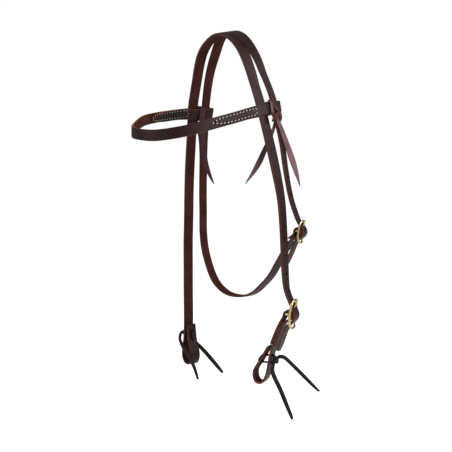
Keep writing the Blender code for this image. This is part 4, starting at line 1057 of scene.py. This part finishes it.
def add_buckle(shape, place, wire, bar, half, rise, drop, stand):
    """Adds the cast ring, which bows outward, its set-back centre bar and the two posts."""
    side, out = Vector(BUCKLE_SIDE), Vector(BUCKLE_OUT)

    def at(outward, up, across):
        return Vector(place) + out * outward + Vector((0.0, 0.0, up)) + side * across

    def stand_out(up):
        share = (up + drop) / rise
        return stand[0] + stand[1] * share ** 2 + stand[2] * share

    path = []
    for across, up in round_square(BUCKLE_PLACES, BUCKLE_POWER):
        path.append(at(stand_out(rise * up - drop), rise * up - drop, half * across))
    add_sweep(shape, path, [out] * len(path), [(wire, wire)] * len(path), closed=True)
    post = (wire + bar) / 2
    for start, end, radius, way in (
            (at(0.0, 0.0, -half), at(0.0, 0.0, half), bar, out),
            (at(-bar, 0.0, -half), at(stand_out(0.0), 0.0, -half), post, side),
            (at(-bar, 0.0, half), at(stand_out(0.0), 0.0, half), post, side)):
        add_sweep(shape, [start.lerp(end, share) for share in POST_SHARES],
                  [way] * len(POST_SHARES), [(radius, radius)] * len(POST_SHARES))


def dress_tongue(node, body, material):
    """Replaces a packed brass tongue with a rounded copy."""
    shape = merged_copy(node, CASTING_JOIN_DEG)
    shape.normal_update()
    for vert in shape.verts:
        vert.co += vert.normal * CASTING_GROW
    mesh = subdivided(shape, 2, f"{node}_fine")
    mesh.materials.clear()
    mesh.materials.append(material)
    for face in mesh.polygons:
        face.material_index = 0
    link_piece(f"{node}_fine", mesh, body, (node,))


class HEADSTALL_OT_buckles(bpy.types.Operator):
    """Dress the two centre-bar buckles and their tongues"""
    bl_idname = "headstall.buckles"
    bl_label = "Buckles and tongues"

    def execute(self, context):
        finish = brass_material("Brass", context.scene.headstall_trim.brass, roughness=0.26)
        for node, sizes in BUCKLES.items():
            detail_piece(f"{node}_fine", lambda shape: add_buckle(shape, **sizes), "headstall",
                         finish, (node,))
        for node, body in (("cheek_buckle_tongue", "cheek_tongue"),
                           ("throat_buckle_tongue", "throat_tongue")):
            dress_tongue(node, body, finish)
        return {"FINISHED"}


# Each lamp's place and width; its power is a setting.
LAMPS = {"key": ((1.60, 0.10, 0.48), 1.1), "sheen": ((1.05, 1.15, 0.72), 0.8),
         "fill": ((-0.4, -1.8, 0.4), 1.2), "top": ((-0.1, -0.2, 1.4), 1.0)}
FLOOR_TURN_DEG = 5
CAMERA_FRAME_MM = 36.0
CAMERA_NEAREST = 0.05
WHITE = (1.0, 1.0, 1.0, 1.0)


def seen_or_thrown(bench, seen, thrown):
    """One strength for what the camera sees, and another for the light on everything else."""
    path = bench.add("ShaderNodeLightPath")
    return bench.math("MULTIPLY_ADD", path.outputs["Is Camera Ray"], seen - thrown, thrown)


def aim_at(thing, place, target):
    """Stands a lamp or camera at a place and turns it to what it looks at."""
    thing.location = place
    thing.rotation_euler = (target - Vector(place)).to_track_quat("-Z", "Y").to_euler()


class HEADSTALL_OT_stage(bpy.types.Operator):
    """Set the floor, the soft lights and the camera"""
    bl_idname = "headstall.stage"
    bl_label = "Floor, lights and camera"

    def execute(self, context):
        settings = context.scene.headstall_stage
        low = CAD_BOX[0][2] - settings.floor_drop
        made = bpy.data.meshes.new("floor")
        rim = [(settings.floor_reach * math.cos(math.radians(turn)),
                settings.floor_reach * math.sin(math.radians(turn)), low)
               for turn in range(0, 360, FLOOR_TURN_DEG)]
        made.from_pydata(rim, [], [tuple(range(len(rim)))])
        pale, bench, shader = new_material("Floor_Pale")
        cloud = bench.add("ShaderNodeTexNoise", Scale=3.0, Detail=2.0)
        bench.feed(shader, "Base Color", bench.mix(cloud.outputs["Fac"], (0.93, 0.93, 0.93, 1.0),
                                                   (0.96, 0.96, 0.96, 1.0)))
        shader.inputs["Roughness"].default_value = 0.9
        shader.inputs["Emission Color"].default_value = WHITE
        bench.feed(shader, "Emission Strength",
                   seen_or_thrown(bench, settings.floor_glow, settings.floor_bounce))
        made.materials.append(pale)
        floor = linked("floor", made)

        world = bpy.data.worlds.new("Studio")
        context.scene.world = world
        world.use_nodes = True
        sky = NodeBench(world.node_tree)
        glow = world.node_tree.nodes["Background"]
        glow.inputs["Color"].default_value = WHITE
        sky.feed(glow, "Strength", seen_or_thrown(sky, 1.0, settings.room_light))
        context.scene.view_settings.view_transform = "Standard"

        target = Vector(settings.camera_target)
        for name, (place, size) in LAMPS.items():
            light = bpy.data.lights.new(name, "AREA")
            light.size = size
            light.energy = getattr(settings, f"{name}_power")
            aim_at(linked(name, light), place, target)

        lens = bpy.data.cameras.new("photo_camera")
        lens.sensor_width = CAMERA_FRAME_MM
        lens.lens = settings.lens
        lens.clip_start = CAMERA_NEAREST
        camera = linked("photo_camera", lens)
        aim_at(camera, settings.camera_place, target)
        context.scene.camera = camera
        return {"FINISHED"}


STEPS = (
    HEADSTALL_OT_stage,
    HEADSTALL_OT_crown_straps,
    HEADSTALL_OT_bit_strap,
    HEADSTALL_OT_browband,
    HEADSTALL_OT_bit_ties,
    HEADSTALL_OT_browband_ties,
    HEADSTALL_OT_stitching,
    HEADSTALL_OT_buckles,
)


class HEADSTALL_PT_panel(bpy.types.Panel):
    """Lists the pieces of the headstall and their settings"""
    bl_idname = "HEADSTALL_PT_panel"
    bl_label = "Western headstall"
    bl_space_type = "VIEW_3D"
    bl_region_type = "UI"
    bl_category = "Headstall"

    def draw(self, context):
        layout = self.layout
        for step in STEPS:
            layout.operator(step.bl_idname, text=step.bl_label)
        for label, group in (("Leather", context.scene.headstall_leather),
                             ("Trim", context.scene.headstall_trim),
                             ("Stage", context.scene.headstall_stage)):
            box = layout.box()
            box.label(text=label)
            for name in group.bl_rna.properties.keys():
                if name not in {"rna_type", "name"}:
                    box.prop(group, name)


CLASSES = (HEADSTALL_PG_leather, HEADSTALL_PG_trim, HEADSTALL_PG_stage, *STEPS,
           HEADSTALL_PT_panel)


def register():
    for item in CLASSES:
        bpy.utils.register_class(item)
    bpy.types.Scene.headstall_leather = PointerProperty(type=HEADSTALL_PG_leather)
    bpy.types.Scene.headstall_trim = PointerProperty(type=HEADSTALL_PG_trim)
    bpy.types.Scene.headstall_stage = PointerProperty(type=HEADSTALL_PG_stage)


def unregister():
    del bpy.types.Scene.headstall_stage
    del bpy.types.Scene.headstall_trim
    del bpy.types.Scene.headstall_leather
    for item in reversed(CLASSES):
        bpy.utils.unregister_class(item)


def main():
    register()
    for step in STEPS:
        family, name = step.bl_idname.split(".")
        if "FINISHED" not in getattr(getattr(bpy.ops, family), name)():
            raise RuntimeError(f"{step.bl_label} was not made")


if __name__ == "__main__":
    main()
